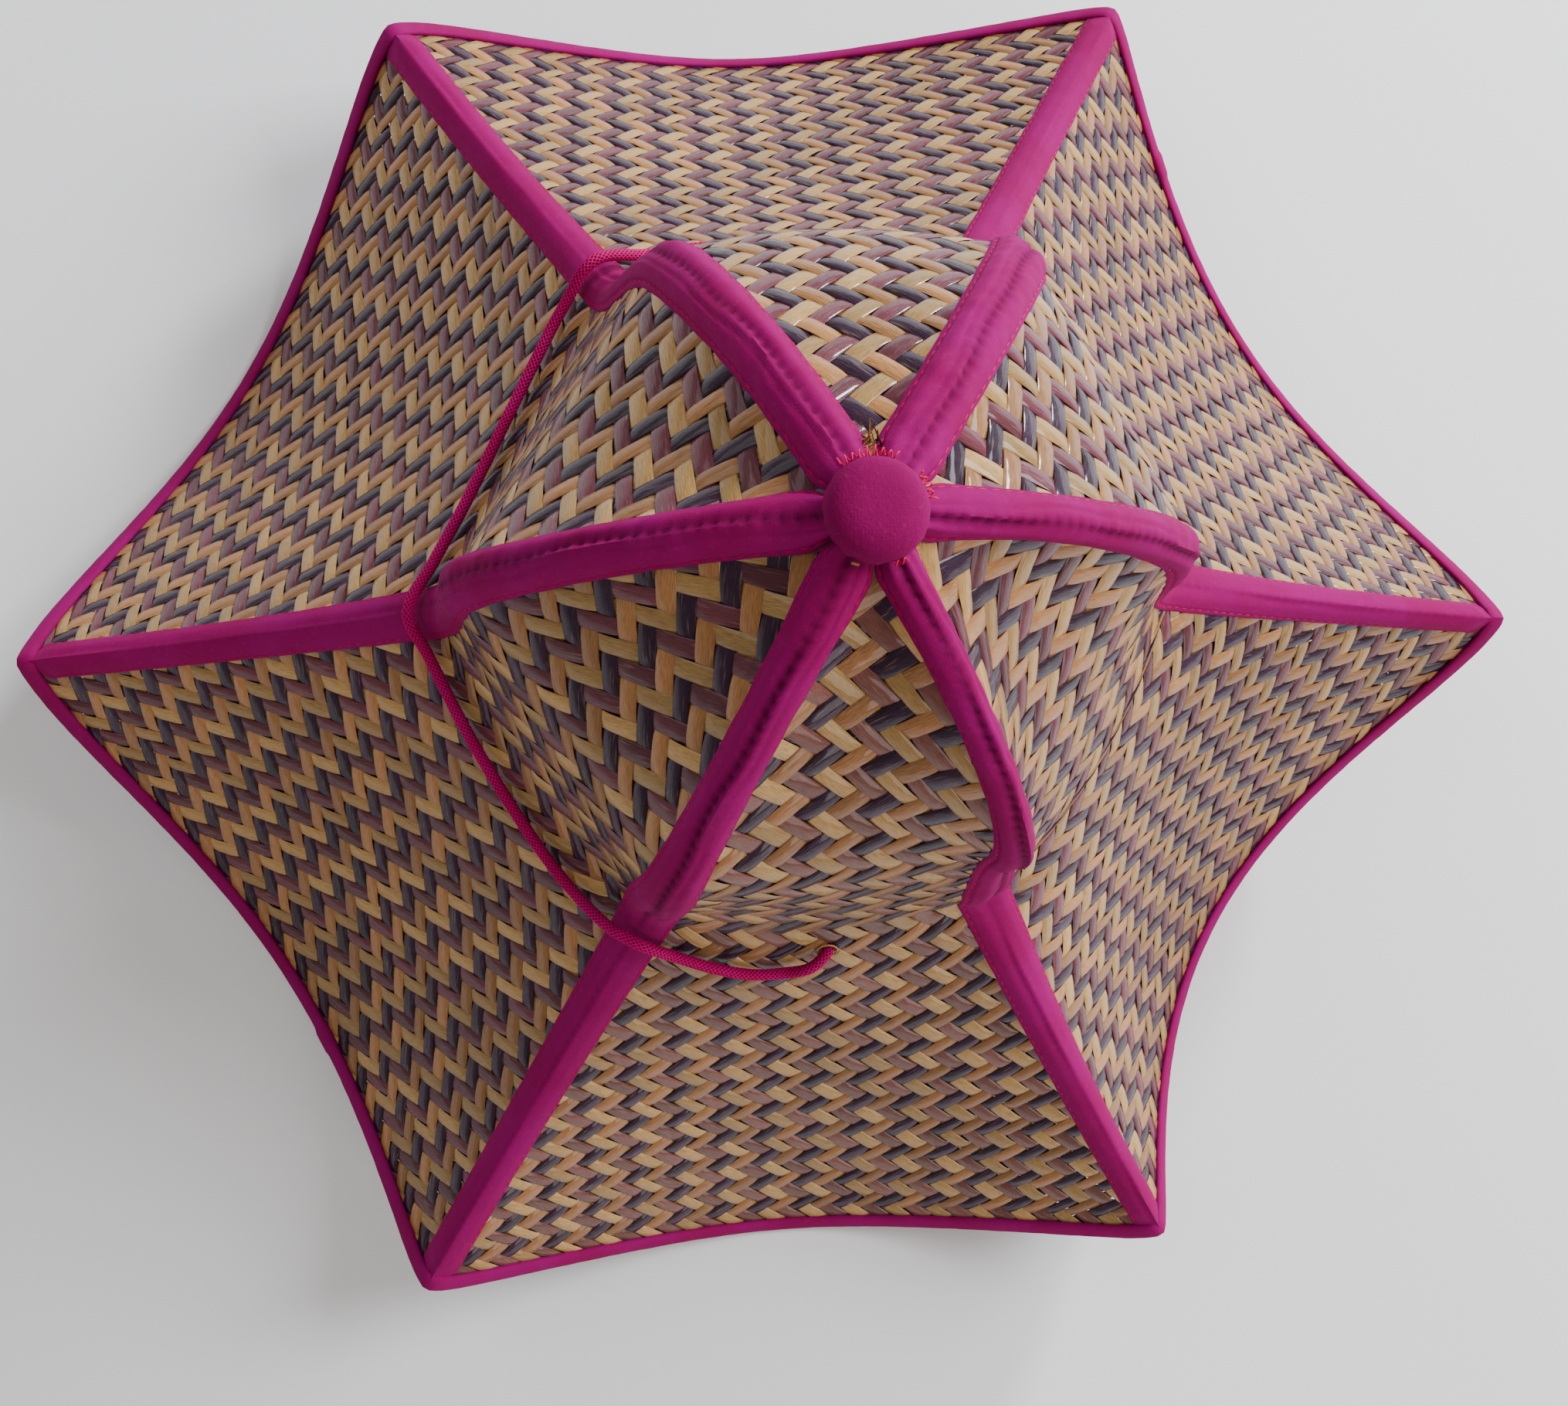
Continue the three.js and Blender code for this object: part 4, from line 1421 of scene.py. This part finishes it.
    def tuft(self) -> None:
        """Short frayed ends of straw that stand out behind the button."""
        rng = np.random.default_rng(5)
        lines, widths = [], []
        for _ in range(self.frayed):
            foot = np.array([rng.uniform(-2.6, 2.6), rng.uniform(11.0, 14.5)])
            row = np.interp(foot[1:], self.chart.y, np.arange(len(self.chart.v)))
            place, normal = self.chart.lift(row, foot[:1])
            lean = rng.normal(0, 1, 3)
            lean = lean / np.linalg.norm(lean) * 0.9 + normal[0] * 0.55 + [0, 0.35, 0]
            bend = rng.normal(0, 0.35, 3)
            share = np.linspace(0, 1, 6)[:, None]
            length = rng.uniform(1.8, 4.6)
            lines.append(place + normal * 0.25 + lean * length * share + bend * length * 0.5 * share**2)
            widths.append(rng.uniform(0.12, 0.34) * (1 - 0.75 * share[:, 0]))
        speck = np.array(self.centre()) / MM + [-5.2, -9.9, 0.6]
        lines.append(speck + np.outer(np.linspace(0, 1, 6), [1.3, -0.5, 0.5]))
        widths.append(np.full(6, 0.3))
        piece = self.strips("straw_tuft", lines, widths)
        finish_piece(piece, self.straw)


@dataclass
class ChinCord:
    """Braided cord round the left of the waist, through both holes and slack inside, closed by a knot."""

    form: HatForm
    material: bpy.types.Material
    straw: bpy.types.Material
    rim: tuple[float, float, float] = (2.2, -91.9, 111.9)
    rim_out: tuple[float, float, float] = (0.0, -0.82, 0.57)
    radius: float = 1.5
    sides: int = 40
    step: float = 0.42
    strands: int = 8
    lay: float = 9.6
    route: tuple[tuple[float, float, float], ...] = ()
    knot: tuple[float, float, float] = (-1.0, 84.5, 97.0)
    knot_size: float = 1.25
    into_knot: tuple[float, float] = (3.6, 3.0)  # how far the two ends run into the knot

    def line(self, step: float) -> np.ndarray:
        """Centre line in millimetres, in the frame of the solids."""
        return evenly(centripetal(self.form.centred(self.route), 24), step)

    @staticmethod
    def carried(line: np.ndarray) -> np.ndarray:
        """Sideways unit vectors carried along a line without twist.

        Args:
            line: points of the line.

        Returns:
            One vector for each point.
        """
        tangent = np.gradient(line, axis=0)
        tangent /= np.linalg.norm(tangent, axis=1, keepdims=True)
        up = np.zeros_like(line)
        current = np.cross(tangent[0], [1.0, 0.0, 0.0])
        for i, t in enumerate(tangent):
            current = current - t * current.dot(t)
            current = current / np.linalg.norm(current)
            up[i] = current
        return up

    def tube(self, name: str, line: np.ndarray) -> bpy.types.Object:
        """Braided round tube along a line.

        Args:
            name: the piece's name.
            line: points of its centre line.

        Returns:
            The dressed piece.
        """
        up = self.carried(line)
        far = np.concatenate([[0], np.cumsum(np.linalg.norm(np.diff(line, axis=0), axis=1))])[:, None]
        angle = np.linspace(0, 2 * math.pi, self.sides, endpoint=False)[None]
        wound = 2 * math.pi * far / self.lay
        one, two = (np.cos(self.strands * (angle + turn * wound)) for turn in (1, -1))
        radius = self.radius * (0.9 + 0.11 * np.maximum(one, two))
        taper = np.minimum(1, 0.35 + np.minimum(far, far[-1] - far) / 1.2)
        section = np.stack([np.cos(angle) * radius * taper, np.sin(angle) * radius * taper], axis=-1)
        points, quads = sweep(line, section, up, False)
        count = len(line)
        caps = [list(range(self.sides)), list(range((count - 1) * self.sides, count * self.sides))]
        piece = new_mesh(name, points, quads.tolist() + caps)
        face_out(piece)
        lay_uv(piece, pairs(far, angle / (2 * math.pi)), wrap=True)
        smooth(piece, 80)
        finish_piece(piece, self.material)
        return piece

    def hole_rim(self) -> None:
        """Pale frayed fibres round the front hole."""
        rng = np.random.default_rng(3)
        out = np.array(self.rim_out) / np.linalg.norm(self.rim_out)
        side = np.cross([0.0, 0.0, 1.0], out)
        side /= np.linalg.norm(side)
        rise = np.cross(out, side)
        middle = self.form.centred(self.rim)
        lines, widths, tones = [], [], []
        share = np.linspace(0, 1, 16)[:, None]
        for number in range(5):
            start, turned = rng.uniform(0, 2 * math.pi), rng.uniform(2.4, 4.4)
            angle = start + turned * share
            reach = rng.uniform(2.35, 2.9) + rng.uniform(-0.3, 0.5) * share
            ring = side * np.cos(angle) * reach + rise * np.sin(angle) * reach
            lines.append(middle + ring + out * rng.uniform(-0.1, 0.35))
            widths.append(np.full(len(share), rng.uniform(0.16, 0.3)))
            tones.append((1.0, 0.6 + 0.08 * number, 0.0, 1.0))
        ups = [np.repeat(out[None], len(share), axis=0)] * len(lines)
        piece = thin_strips("hole_rim_fibres", lines, widths, ups, tones, [None] * len(lines))
        finish_piece(piece, self.straw)

    def build(self) -> None:
        line = self.line(self.step)
        down, up = self.into_knot
        ends = [line[:1] - [0, 0, down], line, line[-1:] + [0, 0, up]]
        line = evenly(np.concatenate(ends), self.step)
        cord = self.tube("chin_cord_braid", line)
        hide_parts("chin_cord")
        t = np.linspace(0, 2 * math.pi, 90)
        trefoil = (np.sin(t) + 2 * np.sin(2 * t), np.cos(t) - 2 * np.cos(2 * t), -1.3 * np.sin(3 * t))
        loops = self.form.centred(self.knot) + np.stack(trefoil, axis=1) * self.knot_size
        knot = self.tube("chin_cord_knot", loops)
        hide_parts("cord_knot")
        self.hole_rim()
        path = [tuple(p) for p in self.line(4.0) * MM]


@dataclass
class Studio:
    """Camera, floor and soft lights."""

    place: tuple[float, float, float] = (-0.05449, -0.05871, 0.5238)
    look: tuple[float, float, float] = (0.115, 0.066, -0.991)
    upright: tuple[float, float, float] = (0.039, 0.997, 0.071)
    focal: float = 2093.0  # pixels of the photo's width
    floor_size: float = 6.0

    def camera(self) -> None:
        """Camera at the photo's place and angle."""
        data = bpy.data.cameras.new("camera")
        data.sensor_width = SENSOR
        data.lens = self.focal * SENSOR / PHOTO_WIDTH
        data.clip_start = 0.01
        camera = bpy.data.objects.new("camera", data)
        back = -Vector(self.look).normalized()
        right = Vector(self.upright).cross(back).normalized()
        turn = Matrix((right, back.cross(right), back)).transposed().to_4x4()
        camera.matrix_world = Matrix.Translation(self.place) @ turn
        bpy.context.scene.collection.objects.link(camera)
        bpy.context.scene.camera = camera

    def floor(self) -> None:
        """Plain pale floor under the hat."""
        bpy.ops.object.select_all(action="DESELECT")
        bpy.ops.mesh.primitive_plane_add(size=self.floor_size, location=(0, 0, -0.0002))
        floor = bpy.context.active_object
        floor.name = "floor"
        n, shader, material = new_material("pale_floor")
        place = n.add("ShaderNodeTexCoord").outputs["Object"]
        noise = n.add("ShaderNodeTexNoise", {"Vector": place, "Scale": 3.0, "Detail": 3.0})
        colour = n.mix(noise.outputs[0], (0.91, 0.91, 0.915), (0.94, 0.935, 0.94))
        material.node_tree.links.new(colour, shader.inputs["Base Color"])
        shader.inputs["Roughness"].default_value = 0.7
        floor.data.materials.append(material)

    @staticmethod
    def lamp(
        name: str,
        place: tuple[float, float, float],
        size: float,
        power: float,
        colour: tuple[float, float, float],
    ) -> None:
        """Square soft light that faces the hat.

        Args:
            name: the light's name.
            place: its middle in metres.
            size: its side in metres.
            power: watts.
            colour: linear colour.
        """
        data = bpy.data.lights.new(name, "AREA")
        data.size, data.energy, data.color = size, power, colour
        lamp = bpy.data.objects.new(name, data)
        aim = Vector((0, 0, 0.1)) - Vector(place)
        lamp.matrix_world = Matrix.Translation(place) @ aim.to_track_quat("-Z", "Y").to_matrix().to_4x4()
        bpy.context.scene.collection.objects.link(lamp)

    def lights(self) -> None:
        """Key from the right, a window beside it, weaker lights, and an even surround."""
        self.lamp("key", (1.25, 0.5, 1.2), 0.8, 37.0, (0.95, 0.965, 1.0))
        self.lamp("window", (0.95, 1.25, 0.75), 0.28, 29.0, (0.88, 0.93, 1.0))
        self.lamp("fill", (-1.2, 0.9, 1.2), 1.4, 10.0, (0.9, 0.95, 1.0))
        self.lamp("front", (0.7, -1.3, 0.7), 0.9, 10.0, (1.0, 0.95, 0.92))
        world = bpy.data.worlds.new("surround")
        world.use_nodes = True
        world.node_tree.nodes["Background"].inputs[0].default_value = (1.0, 0.94, 0.88, 1.0)
        world.node_tree.nodes["Background"].inputs[1].default_value = 0.30
        bpy.context.scene.world = world


# The cord's middle from the crown's axis: from the knot out of the back hole, round the left, in at
# the front hole, down, over the floor and up to the knot again.
CORD_ROUTE = (
    (-1, 84.6, 102.1), (1.6, 82.2, 106.6), (3.2, 83.8, 111.8), (1.5, 88.2, 115.7),
    (-2.3, 90.4, 117.2), (-7.1, 90.5, 117.5), (-13.1, 89.3, 117.1), (-22.5, 90.5, 115.1),
    (-35.6, 88, 117.4), (-49.9, 84.5, 123.5), (-58.2, 74.6, 117.2), (-67.3, 58.6, 114.8),
    (-85.3, 22.8, 118), (-92.5, 9.7, 119.6), (-98.5, -3.4, 124.6), (-94.5, -13.3, 120),
    (-84.3, -35.8, 116), (-69.2, -62.3, 114.1), (-60.3, -74.5, 115.8), (-52.5, -82.4, 121.3),
    (-45.1, -86.9, 123.3), (-36.6, -90.7, 117), (-27, -94.5, 112.4), (-17.1, -97, 108.8),
    (-8.5, -97.1, 108.5), (-2, -95.8, 111.8), (2.2, -92, 112), (3.8, -88, 108.6),
    (4, -85.4, 104.4), (4, -84.6, 96), (4.6, -84, 22), (5.6, -82, 7), (10, -75, 1.8),
    (24, -56, 1.7), (43, 0, 1.7), (23, 57, 1.7), (8, 77, 1.8), (1.5, 83, 7), (-0.8, 84.4, 22),
    (-1, 84.5, 92.4),
)
# By panel: which set leads, how near its orange and plum strands are brought, how far its weave is moved,
# and the middle of its hole.
LEADS = {"front": Lead.ACROSS}
CLOSENESS = {"front": 0.15}
SHIFTS = {"front_left": (6.67, 8.22), "back_left": (4.11, 11.58)}
HOLES = {"front": (2.2, -91.7, 111.5), "back": (0.6, 88.1, 115.6)}


def main() -> None:
    """Build the hat piece by piece."""
    logging.basicConfig(level=logging.INFO, format="%(message)s")
    form = HatForm()
    studio = Studio()
    studio.camera()
    studio.floor()
    studio.lights()
    fibre_group()
    cloth_group()
    braid_group()
    straw = StrawFinish().material()
    tape = ClothFinish("tape_cotton").material()
    knit = ClothFinish("button_knit", (0.185, 0.0, 0.060), (0.215, 0.0, 0.080), 1500.0, 0.0002).material()
    thread = ClothFinish("red_thread", (0.58, 0.003, 0.05), (0.68, 0.01, 0.09), relief=0.00005).material()
    braid = ClothFinish("cord_braid", (0.50, 0.0, 0.12), (0.60, 0.0, 0.18), 3000.0, braided=True).material()
    ChinCord(form, braid, straw, route=CORD_ROUTE).build()
    mats = []
    for index, gore in enumerate(GORES):
        hole = form.centred(HOLES[gore.name]) if gore.name in HOLES else None
        lead, shift = LEADS.get(gore.name, Lead.ALONG), SHIFTS.get(gore.name, (0.0, 0.0))
        mats.append(StrawMat(form, index, straw, hole, lead, shift, CLOSENESS.get(gore.name, 0.0)))
        mats[-1].build()
    charts = [mat.chart for mat in mats]
    for index in range(len(SEAMS)):
        SeamTape(form, index, (charts[index - 1], charts[index]), tape, thread).build()
    EdgeBinding(form, charts, tape).build()
    CrownButton(form, charts[0], knit, thread, straw).build()


if __name__ == "__main__":
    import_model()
    main()
